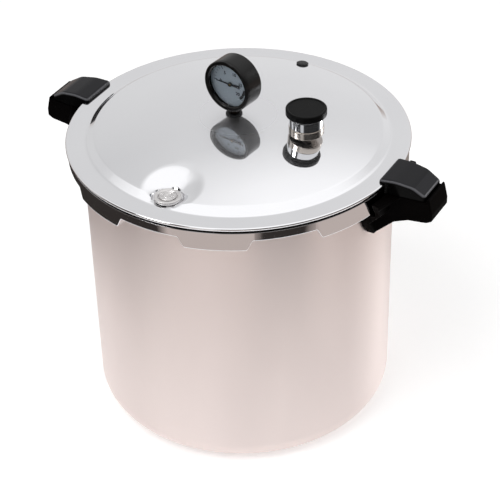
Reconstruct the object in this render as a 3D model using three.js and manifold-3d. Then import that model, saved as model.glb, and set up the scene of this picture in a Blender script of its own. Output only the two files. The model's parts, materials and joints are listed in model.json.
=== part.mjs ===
// Pressure canner: a deep drawn-aluminium body, a domed cover that locks on it by a ring of lugs,
// a dial steam gauge, a pressure regulator on its vent pipe, an air vent that locks the cover,
// an overpressure plug, moulded handles and a perforated rack on the floor.
//
// Millimetres, +Z up. The origin is the centre of the body's base, +X runs along the handles.

import * as THREE from 'three';
import { mergeVertices } from 'three/addons/utils/BufferGeometryUtils.js';
import Module from 'manifold-3d';

const wasm = await Module();
wasm.setup();

// ---------------------------------------------------------------- shared values
const GAP = 0.3; // clearance between separate pieces that seat on each other
const WELD = 1e-4; // vertices closer than this are one
const ROUND = 40; // facets round the body and the cover
const SMALL_ROUND = 16; // facets round the fittings
const TINY_ROUND = 8; // facets round pins, arbors and small holes
const CUT = 1; // how far a cutting solid runs past the face it opens

// ---------------------------------------------------------------- canner body
const BODY_RADIUS = 158.5; // outside, at the rim
const BODY_DRAFT = 1; // radius lost towards the base
const BODY_WALL = 3;
const BODY_FLOOR = 3.5;
const BODY_HEIGHT = 298;
const BODY_CORNER = 25; // outside radius between base and wall
const CORNER_STEPS = 4;
const RIM_EDGE = 1.5; // rounding of the rim's inner and outer edges

// Bayonet: lugs rolled outward and down from the body's rim, tabs turned inward under them.
const LUG_COUNT = 8;
const LUG_TURN = -68.4; // degrees from +X to the first lug's middle
const LUG_WIDTH = 20; // degrees
const LUG_REACH = 9.5; // beyond the wall
const LUG_DROP = 13; // below the rim's top
const LUG_SHEET = 2.6;
const LUG_FOOT = 2.2; // bead of the rim that stays between lugs
const TAB_WIDTH = 22; // degrees of deep skirt and tab
const TAB_GAP = 0.4; // below a lug
const TAB_SHEET = 2.4;
const TAB_REACH = 7.6; // inward from the skirt
const LUG_PITCH = 360 / LUG_COUNT;

// ---------------------------------------------------------------- cover
const COVER_SHEET = 2.6;
const RING_HEIGHT = 7.8; // sealing ring, squeezed
const RING_WIDTH = 13.8;
const SKIRT_CLEARANCE = 2.6; // round the body's lugs
const SHORT_SKIRT = 16; // skirt between the tabs, below the rim's top
const SKIRT_STEP = 7; // length of the curved step from short to deep skirt
const BEAD_OVERHANG = 1.8; // rolled bead beyond the skirt
const BEAD_HEIGHT = 3.4;
const GROOVE_DEPTH = 1.2; // under the bead
const GROOVE_HEIGHT = 2.6;
const RIM_FLAT = 20.5; // width of the flat rim, from the bead inward
const SHOULDER_WIDTH = 5.5;
const SHOULDER_RISE = 5;
const DOME_RISE = 16;
const DOME_STEPS = 4;

const FACET_SAG = BODY_RADIUS * (1 - Math.cos(Math.PI / ROUND)); // of a facet inside its circle
const RIM_TOP = BODY_HEIGHT + GAP + RING_HEIGHT + GAP + COVER_SHEET;
const SKIRT_INNER = BODY_RADIUS + LUG_REACH + SKIRT_CLEARANCE;
const SKIRT_OUTER = SKIRT_INNER + COVER_SHEET;
const BEAD_RADIUS = SKIRT_OUTER + BEAD_OVERHANG;
const TAB_TOP = BODY_HEIGHT - LUG_DROP - TAB_GAP;
const TAB_BOTTOM = TAB_TOP - TAB_SHEET;
const TAB_INNER = SKIRT_INNER - TAB_REACH;
const SHOULDER_OUTER = BEAD_RADIUS - RIM_FLAT;
const DOME_RADIUS = SHOULDER_OUTER - SHOULDER_WIDTH;
const CROWN = RIM_TOP + SHOULDER_RISE + DOME_RISE;

// ---------------------------------------------------------------- vent pipe and regulator
const VENT_OFFSET = 77.4; // from the cover's centre
const VENT_TURN = 0.4; // degrees from +X
const VENT_BASE_ACROSS = 12; // hexagon
const VENT_BASE_HEIGHT = 3;
const VENT_TUBE = 3.8; // outside radius
const VENT_BORE = 1.5;
const VENT_SHANK = 4.6;
const VENT_SHANK_LENGTH = 9; // below its base
const VENT_NUT_ACROSS = 15;
const VENT_NUT_HEIGHT = 4;
const REGULATOR_RADIUS = 17.6;
const REGULATOR_HEIGHT = 18;
const REGULATOR_SEAT = 3.4; // underside above the cover
const REGULATOR_BORE = 12; // depth over the pipe
const REGULATOR_NECK = 8;
const REGULATOR_NECK_HEIGHT = 5;
const CAP_RADIUS = 20.5;
const CAP_HEIGHT = 9.5;
const CAP_CHAMFER = 3;
const CAP_RECESS = 0.7;
const CAP_BORDER = 3;

// ---------------------------------------------------------------- overpressure plug
const PLUG_INSET = 8; // from the dome's edge
const PLUG_OFFSET = DOME_RADIUS - PLUG_INSET;
const PLUG_TURN = 90;
const PLUG_RADIUS = 6.4;
const PLUG_DOME = 2.6;
const PLUG_NECK = 3.8;

// ---------------------------------------------------------------- air vent and cover lock
const LOCK_INSET = 20.5; // from the body's outside
const LOCK_OFFSET = BODY_RADIUS - LOCK_INSET;
const LOCK_TURN = -90;
const POCKET_RADIUS = 21; // at its flat floor
const POCKET_SLOPE = 0.7; // radius gained per millimetre of height
const COLLAR_RADIUS = 13.5;
const COLLAR_HEIGHT = 3;
const COLLAR_WELL = 9; // radius of the well for the plunger's disc
const COLLAR_FLOOR = 1.3;
const COLLAR_NECK = 6;
const COLLAR_NECK_LENGTH = 12; // below its flange
const COLLAR_NUT_ACROSS = 18;
const COLLAR_NUT_HEIGHT = 3.5;
const PLUNGER_SHAFT = 2.6;
const PLUNGER_DISC_HEIGHT = 1.6;
const PLUNGER_FOOT = 5;
const PLUNGER_FOOT_HEIGHT = 3.2;
const LOCK_GASKET_HEIGHT = 1.5;
const LOCK_TRAVEL = 5;
const BRACKET_TURN = 8; // degrees counter-clockwise of the plunger
const BRACKET_WIDTH = 15;
const BRACKET_DROP = 18;
const BRACKET_SHEET = 2;

// ---------------------------------------------------------------- steam gauge
const GAUGE_X = -3;
const GAUGE_Y = -2;
const GAUGE_YAW = -8.4; // degrees that the dial is turned about the vertical
const GAUGE_RADIUS = 27.3;
const GAUGE_DEPTH = 23.5;
const GAUGE_RISE = 8.7; // case above the cover
const CASE_WALL = 1.8;
const CASE_EDGE = 1.5;
const BEZEL_DEPTH = 2.7;
const BEZEL_FACE = 4.5; // width of the ring seen from the front
const LENS_THICKNESS = 1.5;
const DIAL_THICKNESS = 0.8;
const DIAL_SINK = 3.8; // from the lens's inner face to the dial's face
const GAUGE_ROUND = 28;
const STEM_ACROSS = 10; // hexagon
const STEM_SHANK = 4.7;
const STEM_SHANK_LENGTH = 12; // below the hexagon
const STEM_BORE = 1.5;
const STEM_NUT_ACROSS = 17;
const STEM_NUT_HEIGHT = 4;
const STEM_WASHER = 8.2;
const STEM_WASHER_HEIGHT = 1.2;

// Gauge movement: sector gear and pinion between two plates, driven by the tube through a link.
const GEAR_MODULE = 0.4;
const PRESSURE_ANGLE = 25;
const ADDENDUM = 0.8; // in modules
const DEDENDUM = 1.05; // in modules
const BACKLASH = 0.14;
const PINION_TEETH = 10;
const SECTOR_FULL_TEETH = 72; // of the whole wheel that the sector is cut from
const SECTOR_TEETH = 10;
const SECTOR_TURN = -45; // degrees from the pinion to the sector's arbor
const SECTOR_TAIL = 5.5;
const SECTOR_RIM = 12.4; // radius where the toothed rim's ribs start
const SECTOR_RIB = 4; // degrees that a rib takes
const SECTOR_FLARE = 30; // degrees that the hub's side stands beyond the rim
const SECTOR_HUB = 2.6;
const LINK_PIN = 0.8;
const LINK_EYE = 0.7; // round a pin
const ARBOR = 0.9;
const PLATE_THICKNESS = 0.8;
const PLATE_SPACE = 4.6; // between the plates
const PLATE_EDGE = 3.2; // plate beyond its corner centres
const PILLAR = 1.3;
const PILLARS = [[-6.5, 3], [8.5, -19.6]]; // places of the pillars between the plates
const TUBE_RADIUS = 19.5; // of the curved pressure tube's centre line
const TUBE_WIDTH = 2.2;
const TUBE_DEPTH = 4.4;
const TUBE_SWEEP = 252;
const TUBE_STEPS = 20;
const POINTER_LENGTH = 17;
const POINTER_TAIL = 12;
const POINTER_THICKNESS = 0.6;
const POINTER_HUB = 2.4;

// ---------------------------------------------------------------- handles
const HANDLE_SPLIT = BODY_HEIGHT; // top of the body handles' seat
const HANDLE_CLEARANCE = 1; // of a cover handle above a body handle
const COVER_HANDLE_WIDTH = 45.8; // at its inner end
const COVER_HANDLE_TAPER = 0.81; // of that width at its outer end
const COVER_HANDLE_LAP = 9; // over the rim, inward of the bead
const COVER_HANDLE_REACH = 40; // beyond the bead
const COVER_HANDLE_LEAN = 1.6; // of its inner end
const COVER_HANDLE_RISE = 4.4; // above the rim at its inner end
const COVER_HANDLE_CREST = 5.4; // above the rim where it is highest
const COVER_HANDLE_BROW = 3; // above the rim where its top turns down
const COVER_HANDLE_BROW_LENGTH = 14; // from there to its outer end
const COVER_HANDLE_NOSE = 5.2; // below the rim's top at its outer end
const COVER_HANDLE_BEVEL = 2.6;
const COVER_HANDLE_EDGE = 3.4; // rounding of its two ends
const GRIP_WIDTH = 44; // of a body handle at the skirt
const GRIP_TAPER = 0.88; // of that width at its outer end
const GRIP_DEPTH = 23; // below the seat, at its outer end
const GRIP_BEVEL = 1.6;
const GRIP_HEEL = 3; // rise of its underside at the outer end
const GRIP_NECK = 30.5; // below the seat, where the underside turns out
const GRIP_NECK_REACH = 25; // beyond the wall, there
const GRIP_ROOT = 47; // below the seat, at the foot
const LIP_CLEARANCE = 2.2; // lip beyond the cover handle's end
const LIP_THICKNESS = 2; // at its top
const LIP_RISE = 3.5; // above the seat
const LIP_LEAN = 3.8; // of the outer face, from its foot to its top
const WING_HALF_WIDTH = 46; // of the part that hugs the skirt, at the seat
const WING_HALF_WAIST = 40;
const WING_DEPTH = 12; // from the seat down to the waist
const WING_THICKNESS = 4.5; // beyond the way of the bead
const WING_FILLET = 14; // from the skirt out to the plain grip
const SKIRT_WAY = 1.5; // body handle clear of the turning bead
const FOOT_THICKNESS = 7.5;
const FOOT_SHOULDER = 32.4; // below the seat
const FOOT_DROP = 49.5; // below the seat
const FOOT_HALF_WIDTH = 33;
const FOOT_HALF_BASE = 24;

const STRAP = 1.8; // sheet of the handle brackets
const STRAP_WIDTH = 18;
const STRAP_CORNER = 3;
const COVER_STRAP_DROP = 1; // below the bead
const COVER_STRAP_DEPTH = 10.6;
const COVER_STRAP_REACH = 30;
const BODY_STRAP_DROP = 21.7; // below the seat
const BODY_STRAP_DEPTH = 16;
const BODY_STRAP_REACH = 29;
const SCREW_RADIUS = 2;
const SCREW_HEAD = 4;
const SCREW_HEAD_HEIGHT = 2.4;
const COVER_SCREW_GRIP = 5; // shank above the strap
const BODY_SCREW_GRIP = 9;
const SCREW_INSET = 8; // from the strap's end

const COVER_HANDLE_END = BEAD_RADIUS + COVER_HANDLE_REACH;
const COVER_STRAP_TOP = RIM_TOP - BEAD_HEIGHT - COVER_STRAP_DROP;
const BODY_STRAP_TOP = HANDLE_SPLIT - BODY_STRAP_DROP;

// ---------------------------------------------------------------- rack
const RACK_CLEARANCE = 10.5; // from the body's wall
const RACK_SHEET = 1.6;
const RACK_STAND = 12; // underside above the floor
const RACK_LIP = 5;
const RACK_HOLE = 4.5;
const RACK_RINGS = [[17, 15], [61, 10], [107, 6]]; // inset from its edge and number of holes
const RACK_FEET = 6;
const RACK_FOOT_INSET = 35; // from its edge
const RACK_FOOT_TOP = 10;
const RACK_FOOT_TOE = 5;
const RACK_RADIUS = BODY_RADIUS - BODY_WALL - RACK_CLEARANCE;
const RACK_FOOT_OFFSET = RACK_RADIUS - RACK_FOOT_INSET;

// ---------------------------------------------------------------- materials
const FINISHES = {
  satinAluminium: { color: 0xd7cbc6, roughness: 0.38, metalness: 1 },
  polishedAluminium: { color: 0xe2e2e4, roughness: 0.08, metalness: 1 },
  chrome: { color: 0xd8d8da, roughness: 0.05, metalness: 1 },
  steel: { color: 0xb4b4b2, roughness: 0.35, metalness: 1 },
  brass: { color: 0xb9974f, roughness: 0.35, metalness: 1 },
  phenolic: { color: 0x1b1b1d, roughness: 0.42, metalness: 0 },
  rubber: { color: 0x151516, roughness: 0.75, metalness: 0 },
  blackMetal: { color: 0x202023, roughness: 0.45, metalness: 0 },
  dialFace: { color: 0xa9b2bc, roughness: 0.6, metalness: 0 },
  lens: { color: 0xe8eef2, roughness: 0.03, metalness: 0 },
};

// ================================================================ geometry helpers
const radians = THREE.MathUtils.degToRad;

/** A closed solid from a geometry whose shared vertices are welded. */
function solid(geometry) {
  const bare = geometry.clone();
  bare.deleteAttribute('normal');
  bare.deleteAttribute('uv');
  const welded = mergeVertices(bare, WELD);
  const corners = welded.index.array;
  const triangles = [];
  for (let i = 0; i < corners.length; i += 3) {
    const [a, b, c] = corners.subarray(i, i + 3);
    if (a !== b && b !== c && c !== a) triangles.push(a, b, c);
  }
  const vertProperties = new Float32Array(welded.attributes.position.array);
  const triVerts = new Uint32Array(triangles);
  return new wasm.Manifold(new wasm.Mesh({ numProp: 3, vertProperties, triVerts }));
}

/** The geometry of a joined or cut solid. */
function geometryOf(body) {
  const { vertProperties, triVerts } = body.getMesh();
  const geometry = new THREE.BufferGeometry();
  geometry.setAttribute('position', new THREE.BufferAttribute(new Float32Array(vertProperties), 3));
  geometry.setIndex(new THREE.BufferAttribute(new Uint32Array(triVerts), 1));
  geometry.computeVertexNormals();
  return geometry;
}

/** Joins geometries into one solid. */
function joined(...geometries) {
  return geometries.map(solid).reduce((whole, next) => whole.add(next));
}

/** A solid less each of the geometries. */
function without(body, ...geometries) {
  return geometries.reduce((rest, cutter) => rest.subtract(solid(cutter)), body);
}

/**
 * Turns an outline of [radius, height] points round +Z. The points run counter-clockwise, and the
 * outline closes on itself unless it starts and ends on the axis.
 */
function revolve(outline, segments = ROUND) {
  const points = outline.map(([radius, height]) => new THREE.Vector2(radius, height));
  const onAxis = outline[0][0] === 0 && outline[outline.length - 1][0] === 0;
  if (!onAxis) points.push(points[0].clone());
  return new THREE.LatheGeometry(points, segments).rotateX(Math.PI / 2);
}

/** An upright cylinder from one height to another. */
function cylinder(radius, low, high, segments = SMALL_ROUND) {
  return revolve([[0, low], [radius, low], [radius, high], [0, high]], segments);
}

/** An upright hexagonal prism, measured across its flats. */
function hexagon(across, low, high) {
  return cylinder(across / 2 / Math.cos(Math.PI / 6), low, high, 6);
}

/** A box between two corners. */
function box(low, high) {
  const size = high.map((value, i) => value - low[i]);
  const middle = high.map((value, i) => (value + low[i]) / 2);
  return new THREE.BoxGeometry(...size).translate(...middle);
}

/** An outline of [x, y, rounding] corners, each rounded by a curve that starts that far from it. */
function outlineOf(corners) {
  const shape = new THREE.Shape();
  corners.forEach(([x, y, rounding = 0], i) => {
    const corner = new THREE.Vector2(x, y);
    const before = new THREE.Vector2(...corners.at(i - 1).slice(0, 2));
    const after = new THREE.Vector2(...corners[(i + 1) % corners.length].slice(0, 2));
    const start = before.sub(corner).setLength(rounding).add(corner);
    const end = after.sub(corner).setLength(rounding).add(corner);
    if (i === 0) shape.moveTo(start.x, start.y);
    else shape.lineTo(start.x, start.y);
    if (rounding > 0) shape.quadraticCurveTo(x, y, end.x, end.y);
  });
  shape.closePath();
  return shape;
}

/** A flat plate of the outline in X and Y, from one height to another. */
function plate(shape, low, high, curveSegments = 3) {
  const options = { depth: high - low, bevelEnabled: false, curveSegments };
  return new THREE.ExtrudeGeometry(shape, options).translate(0, 0, low);
}

/** The lowest and highest height of an outline at a place along it. */
function spanAt(points, x) {
  const heights = points.flatMap((point, i) => {
    const next = points[(i + 1) % points.length];
    if (x < Math.min(point.x, next.x) || x > Math.max(point.x, next.x)) return [];
    if (point.x === next.x) return [point.y, next.y];
    return [point.y + ((next.y - point.y) * (x - point.x)) / (next.x - point.x)];
  });
  return [Math.min(...heights), Math.max(...heights)];
}

/** The places along an outline of its points, with more between them, none further apart than the step. */
function stations(points, step) {
  const places = [...new Set(points.map((point) => point.x))].sort((a, b) => a - b);
  const between = places.slice(1).flatMap((place, i) => {
    const parts = Math.ceil((place - places[i]) / step);
    return Array.from({ length: parts }, (_, k) => places[i] + ((place - places[i]) * (k + 1)) / parts);
  });
  return [places[0], ...between];
}

/**
 * Bends an outline round +Z into a solid between two radii. Its x is the distance along the arc at
 * the inner radius, counter-clockwise from the turn given in degrees, and its y is the height. Each
 * place along it has one lowest and one highest point.
 */
function wrapped(shape, inner, outer, turn = 0) {
  const points = shape.getPoints(2);
  const places = stations(points, (2 * Math.PI * inner) / (2 * ROUND));
  const positions = places.flatMap((x) => {
    const [low, high] = spanAt(points, x);
    const angle = radians(turn) + x / inner;
    const section = [[inner, low], [outer, low], [outer, high], [inner, high]];
    return section.flatMap(([radius, z]) => [radius * Math.cos(angle), radius * Math.sin(angle), z]);
  });
  const last = 4 * (places.length - 1);
  const faces = [0, 1, 2, 0, 2, 3, last, last + 2, last + 1, last, last + 3, last + 2];
  for (let start = 0; start < last; start += 4) {
    for (let side = 0; side < 4; side += 1) {
      const [i, j] = [start + side, start + ((side + 1) % 4)];
      faces.push(i, i + 4, j + 4, i, j + 4, j);
    }
  }
  const geometry = new THREE.BufferGeometry();
  geometry.setAttribute('position', new THREE.Float32BufferAttribute(positions, 3));
  geometry.setIndex(faces);
  return geometry;
}

/** A side outline in X and Z carried along Y to the width given. */
function bar(shape, width, curveSegments = 3) {
  return plate(shape, -width / 2, width / 2, curveSegments).rotateX(Math.PI / 2);
}

/** The same with its side edges bevelled. */
function bevelledBar(shape, width, bevel, curveSegments = 3) {
  const geometry = new THREE.ExtrudeGeometry(shape, {
    depth: width - 2 * bevel,
    bevelEnabled: true,
    bevelThickness: bevel,
    bevelSize: bevel,
    bevelOffset: -bevel,
    bevelSegments: 2,
    curveSegments,
  });
  return geometry.translate(0, 0, bevel - width / 2).rotateX(Math.PI / 2);
}

/** A named mesh with its own material. */
function piece(name, geometry, finish) {
  const mesh = new THREE.Mesh(geometry, new THREE.MeshStandardMaterial(FINISHES[finish]));
  mesh.name = name;
  return mesh;
}

/** A group that stands at a place and holds the pieces. */
function placed([x, y, z], ...pieces) {
  const group = new THREE.Group();
  group.position.set(x, y, z);
  group.add(...pieces);
  return group;
}

/** A point at a distance and a turn in degrees from the axis. */
function polar(distance, turn) {
  return [distance * Math.cos(radians(turn)), distance * Math.sin(radians(turn))];
}

// ================================================================ canner body
/** Points of a quarter turn between base and wall. */
function cornerArc(centreRadius, centreHeight, radius) {
  return Array.from({ length: CORNER_STEPS + 1 }, (_, i) => {
    const angle = (-Math.PI / 2) * (1 - i / CORNER_STEPS);
    return [centreRadius + radius * Math.cos(angle), centreHeight + radius * Math.sin(angle)];
  });
}

function cannerBody() {
  const baseRadius = BODY_RADIUS - BODY_DRAFT;
  const centre = baseRadius - BODY_CORNER;
  const lugOuter = BODY_RADIUS + LUG_REACH;
  const lugBottom = BODY_HEIGHT - LUG_DROP;
  const bore = BODY_RADIUS - BODY_WALL;
  const innerCorner = BODY_CORNER - BODY_WALL;
  const profile = [
    [0, 0],
    ...cornerArc(centre, BODY_CORNER, BODY_CORNER),
    [BODY_RADIUS, BODY_HEIGHT - LUG_SHEET],
    [lugOuter - LUG_SHEET, BODY_HEIGHT - LUG_SHEET],
    [lugOuter - LUG_SHEET, lugBottom],
    [lugOuter, lugBottom],
    [lugOuter, BODY_HEIGHT - RIM_EDGE],
    [lugOuter - RIM_EDGE, BODY_HEIGHT],
    [bore + RIM_EDGE, BODY_HEIGHT],
    [bore, BODY_HEIGHT - RIM_EDGE],
    ...cornerArc(centre, BODY_FLOOR + innerCorner, innerCorner).reverse(),
    [0, BODY_FLOOR],
  ];
  const notch = lugNotch(LUG_PITCH - LUG_WIDTH, lugBottom - CUT, BODY_HEIGHT + CUT);
  const notches = lugTurns(LUG_PITCH / 2).map((turn) =>
    wrapped(notch, BODY_RADIUS + LUG_FOOT, lugOuter + CUT, turn));
  return piece('canner_body', geometryOf(without(solid(revolve(profile)), ...notches)), 'satinAluminium');
}

/** The middles of all lugs in degrees, or of the gaps when half a pitch is added. */
function lugTurns(offset = 0) {
  return Array.from({ length: LUG_COUNT }, (_, i) => LUG_TURN + offset + i * LUG_PITCH);
}

/** The outline of the notch between two lugs of the body, along its inner radius. */
function lugNotch(width, low, high) {
  const half = (radians(width) * (BODY_RADIUS + LUG_FOOT)) / 2;
  return outlineOf([[-half, low], [half, low], [half, high], [-half, high]]);
}

/** The bracket inside the rim that the raised plunger meets when the cover is turned. */
function lockBracket() {
  const turn = LOCK_TURN + BRACKET_TURN;
  const outer = BODY_RADIUS - BODY_WALL - GAP - FACET_SAG;
  const top = plungerFootTop() + LOCK_GASKET_HEIGHT + 2 * GAP + BRACKET_SHEET;
  const tongueInner = LOCK_OFFSET + (PLUNGER_SHAFT + PLUNGER_FOOT) / 2;
  const half = BRACKET_WIDTH / 2;
  const back = [[-half, top - BRACKET_DROP, 3], [half, top - BRACKET_DROP, 3], [half, top], [-half, top]];
  const tongue = [[-half, top - BRACKET_SHEET], [half, top - BRACKET_SHEET], [half, top], [-half, top]];
  const bracket = joined(
    wrapped(outlineOf(back), outer - BRACKET_SHEET, outer, turn),
    wrapped(outlineOf(tongue), tongueInner, outer - BRACKET_SHEET / 2, turn),
  );
  return piece('lock_bracket', geometryOf(bracket), 'steel');
}

// ================================================================ cover
/** Height of the cover's outer face on the dome. */
function domeHeight(radius) {
  return CROWN - DOME_RISE * (radius / DOME_RADIUS) ** 2;
}

/** The dome from its edge to the crown, lowered by a sheet for the inner face. */
function domePoints(lowered) {
  return Array.from({ length: DOME_STEPS + 1 }, (_, i) => {
    const radius = DOME_RADIUS * (1 - i / DOME_STEPS);
    return [radius, domeHeight(radius) - lowered];
  });
}

/** The rounded shoulder between the flat rim and the dome. */
function shoulderPoints(inset, lowered) {
  const steps = [[0, 0], [0.5, 0.5]];
  return steps.map(([across, up]) => [
    SHOULDER_OUTER - inset - across * SHOULDER_WIDTH,
    RIM_TOP - lowered + up * SHOULDER_RISE,
  ]);
}

/** Everything under the cover's outer face, down to the tabs' underside. */
function coverOutside() {
  const beadBottom = RIM_TOP - BEAD_HEIGHT;
  const grooveBottom = beadBottom - GROOVE_HEIGHT;
  const grooveRadius = SKIRT_OUTER - GROOVE_DEPTH;
  return solid(revolve([
    [0, TAB_BOTTOM],
    [SKIRT_OUTER - TAB_SHEET / 2, TAB_BOTTOM],
    [SKIRT_OUTER, TAB_BOTTOM + TAB_SHEET / 2],
    [SKIRT_OUTER, grooveBottom],
    [grooveRadius, grooveBottom + GROOVE_DEPTH / 2],
    [grooveRadius, beadBottom],
    [BEAD_RADIUS, beadBottom + BEAD_HEIGHT / 4],
    [BEAD_RADIUS, RIM_TOP - BEAD_HEIGHT / 4],
    [BEAD_RADIUS - BEAD_HEIGHT / 4, RIM_TOP],
    ...shoulderPoints(0, 0),
    ...domePoints(0),
  ]));
}

/** The hollow inside the cover, with its mouth between the tabs. */
function coverInside() {
  return solid(revolve([
    [0, TAB_BOTTOM - CUT],
    [TAB_INNER, TAB_BOTTOM - CUT],
    [TAB_INNER, TAB_TOP],
    [SKIRT_INNER, TAB_TOP],
    [SKIRT_INNER, RIM_TOP - COVER_SHEET],
    ...shoulderPoints(COVER_SHEET * 0.4, COVER_SHEET),
    ...domePoints(COVER_SHEET),
  ]));
}

/** A round tool that presses a flat-floored hollow into the cover's sheet. */
function press(radius, floor, slope, offset, turn) {
  const height = CROWN + CUT - floor;
  const tool = [[0, floor], [radius, floor], [radius + slope * height, CROWN + CUT], [0, CROWN + CUT]];
  return revolve(tool, GAUGE_ROUND).translate(...polar(offset, turn), 0);
}

/** The hollows in the cover, each as a tool for the outer face and one for the inner face. */
function hollowTools(lowered) {
  const grown = lowered * 0.8;
  const [ventX, ventY] = ventPlace();
  const flat = (radius, floor, x, y) =>
    cylinder(radius + grown, floor - lowered, CROWN + CUT).translate(x, y, 0);
  return [
    press(POCKET_RADIUS + grown, RIM_TOP - lowered, POCKET_SLOPE, LOCK_OFFSET, LOCK_TURN),
    flat(ventLandRadius(), ventLand(), ventX, ventY),
    flat(STEM_WASHER + GAP, gaugeLand(), GAUGE_X, GAUGE_Y),
  ];
}

/** The outline of the gap between two deep stretches of the skirt, with its curved steps. */
function skirtGap(radius) {
  const half = (radians(LUG_PITCH - TAB_WIDTH) * radius) / 2;
  const low = TAB_BOTTOM - CUT;
  const high = RIM_TOP - SHORT_SKIRT;
  const round = SKIRT_STEP / 2;
  const foot = half - SKIRT_STEP / 4;
  const head = half - SKIRT_STEP;
  return outlineOf([
    [-half, low], [half, low], [half, low + CUT], [foot, low + round, round / 2], [head, high, round],
    [-head, high, round], [-foot, low + round, round / 2], [-half, low + CUT],
  ]);
}

function cover() {
  const sheet = without(coverOutside(), ...hollowTools(0))
    .subtract(without(coverInside(), ...hollowTools(COVER_SHEET)));
  const gaps = lugTurns(LUG_PITCH / 2).map((turn) =>
    wrapped(skirtGap(TAB_INNER - CUT), TAB_INNER - CUT, BEAD_RADIUS, turn));
  const drilled = (radius, [x, y]) => cylinder(radius + GAP, RIM_TOP - 4 * COVER_SHEET, CROWN + CUT)
    .translate(x, y, 0);
  const holes = [
    drilled(VENT_SHANK, ventPlace()),
    drilled(STEM_SHANK, [GAUGE_X, GAUGE_Y]),
    drilled(COLLAR_NECK, polar(LOCK_OFFSET, LOCK_TURN)),
    seatedOnDome(cylinder(PLUG_NECK + GAP, -4 * COVER_SHEET, 4 * COVER_SHEET), PLUG_OFFSET, PLUG_TURN),
  ];
  return piece('cover', geometryOf(without(sheet, ...gaps, ...holes)), 'polishedAluminium');
}

/** Stands a geometry square on the dome at a distance and turn from the axis. */
function seatedOnDome(geometry, offset, turn) {
  const slope = Math.atan((2 * DOME_RISE * offset) / DOME_RADIUS ** 2);
  return geometry.rotateY(slope).translate(offset, 0, domeHeight(offset)).rotateZ(radians(turn));
}

function sealingRing() {
  const low = BODY_HEIGHT + GAP;
  const high = low + RING_HEIGHT;
  const outer = SKIRT_INNER - GAP;
  const inner = outer - RING_WIDTH;
  const middle = (low + high) / 2;
  const edge = RING_HEIGHT / 8;
  const profile = [
    [inner, low], [outer - edge, low], [outer, middle], [outer - edge, high], [inner, high],
    [inner + RING_WIDTH / 2, middle],
  ];
  return piece('sealing_ring', revolve(profile), 'rubber');
}

function overpressurePlug() {
  const under = -COVER_SHEET - GAP;
  const profile = [
    [0, under - PLUG_DOME], [PLUG_RADIUS * 0.6, under - PLUG_DOME], [PLUG_RADIUS * 0.85, under],
    [PLUG_NECK, under], [PLUG_NECK, GAP], [PLUG_RADIUS, GAP], [PLUG_RADIUS, PLUG_DOME * 0.5],
    [PLUG_RADIUS * 0.75, PLUG_DOME * 0.92], [0, PLUG_DOME],
  ];
  const plug = seatedOnDome(revolve(profile, SMALL_ROUND), PLUG_OFFSET, PLUG_TURN);
  return piece('overpressure_plug', plug, 'rubber');
}

// ================================================================ vent pipe and regulator
function ventPlace() {
  return polar(VENT_OFFSET, VENT_TURN);
}

function ventLandRadius() {
  return VENT_NUT_ACROSS / Math.sqrt(3) + GAP;
}

/** Height of the flat that the vent pipe seats on. */
function ventLand() {
  return domeHeight(VENT_OFFSET + ventLandRadius());
}

function regulatorBottom() {
  return domeHeight(VENT_OFFSET) + REGULATOR_SEAT - ventLand();
}

/** Pieces on the vent's own axis, from the flat up. */
function ventAssembly() {
  const top = regulatorBottom() + REGULATOR_BORE - GAP;
  const shankEnd = GAP - VENT_SHANK_LENGTH;
  const seat = GAP + VENT_BASE_HEIGHT;
  const pipe = without(
    joined(
      hexagon(VENT_BASE_ACROSS, GAP, seat),
      revolve([
        [0, seat - CUT], [VENT_TUBE, seat - CUT], [VENT_TUBE, top - CUT], [VENT_BORE + CUT, top], [0, top],
      ], SMALL_ROUND),
      cylinder(VENT_SHANK, shankEnd, GAP + CUT),
    ),
    cylinder(VENT_BORE, shankEnd - CUT, top + CUT),
  );
  const nutTop = -COVER_SHEET - GAP;
  const nut = without(
    solid(hexagon(VENT_NUT_ACROSS, nutTop - VENT_NUT_HEIGHT, nutTop)),
    cylinder(VENT_SHANK + GAP, nutTop - VENT_NUT_HEIGHT - CUT, nutTop + CUT),
  );
  return placed([...ventPlace(), ventLand()],
    piece('vent_pipe', geometryOf(pipe), 'chrome'),
    piece('vent_pipe_nut', geometryOf(nut), 'steel'),
    regulatorWeight(),
    regulatorCap());
}

function regulatorWeight() {
  const low = regulatorBottom();
  const high = low + REGULATOR_HEIGHT;
  const bore = VENT_TUBE + 2 * GAP;
  const profile = [
    [0, low + REGULATOR_BORE], [bore, low + REGULATOR_BORE], [bore, low + CUT], [bore + CUT, low],
    [REGULATOR_RADIUS - CUT, low], [REGULATOR_RADIUS, low + CUT], [REGULATOR_RADIUS, high],
    [REGULATOR_NECK, high], [REGULATOR_NECK, high + REGULATOR_NECK_HEIGHT],
    [0, high + REGULATOR_NECK_HEIGHT],
  ];
  return piece('regulator_weight', revolve(profile, SMALL_ROUND), 'chrome');
}

function regulatorCap() {
  const low = regulatorBottom() + REGULATOR_HEIGHT + GAP;
  const high = low + CAP_HEIGHT;
  const socket = REGULATOR_NECK + GAP;
  const profile = [
    [0, low + REGULATOR_NECK_HEIGHT], [socket, low + REGULATOR_NECK_HEIGHT], [socket, low],
    [REGULATOR_RADIUS, low], [CAP_RADIUS, low + CAP_CHAMFER], [CAP_RADIUS, high - CAP_RECESS],
    [CAP_RADIUS - CAP_RECESS, high], [CAP_RADIUS - CAP_BORDER, high],
    [CAP_RADIUS - CAP_BORDER - CAP_RECESS, high - CAP_RECESS], [0, high - CAP_RECESS],
  ];
  return piece('regulator_cap', revolve(profile, SMALL_ROUND), 'phenolic');
}

// ================================================================ air vent and cover lock
/** Height of the plunger's foot below the pocket floor, as the foot's top. */
function plungerFootTop() {
  return RIM_TOP + GAP - COLLAR_NECK_LENGTH - LOCK_TRAVEL - LOCK_GASKET_HEIGHT - 2 * GAP;
}

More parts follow.
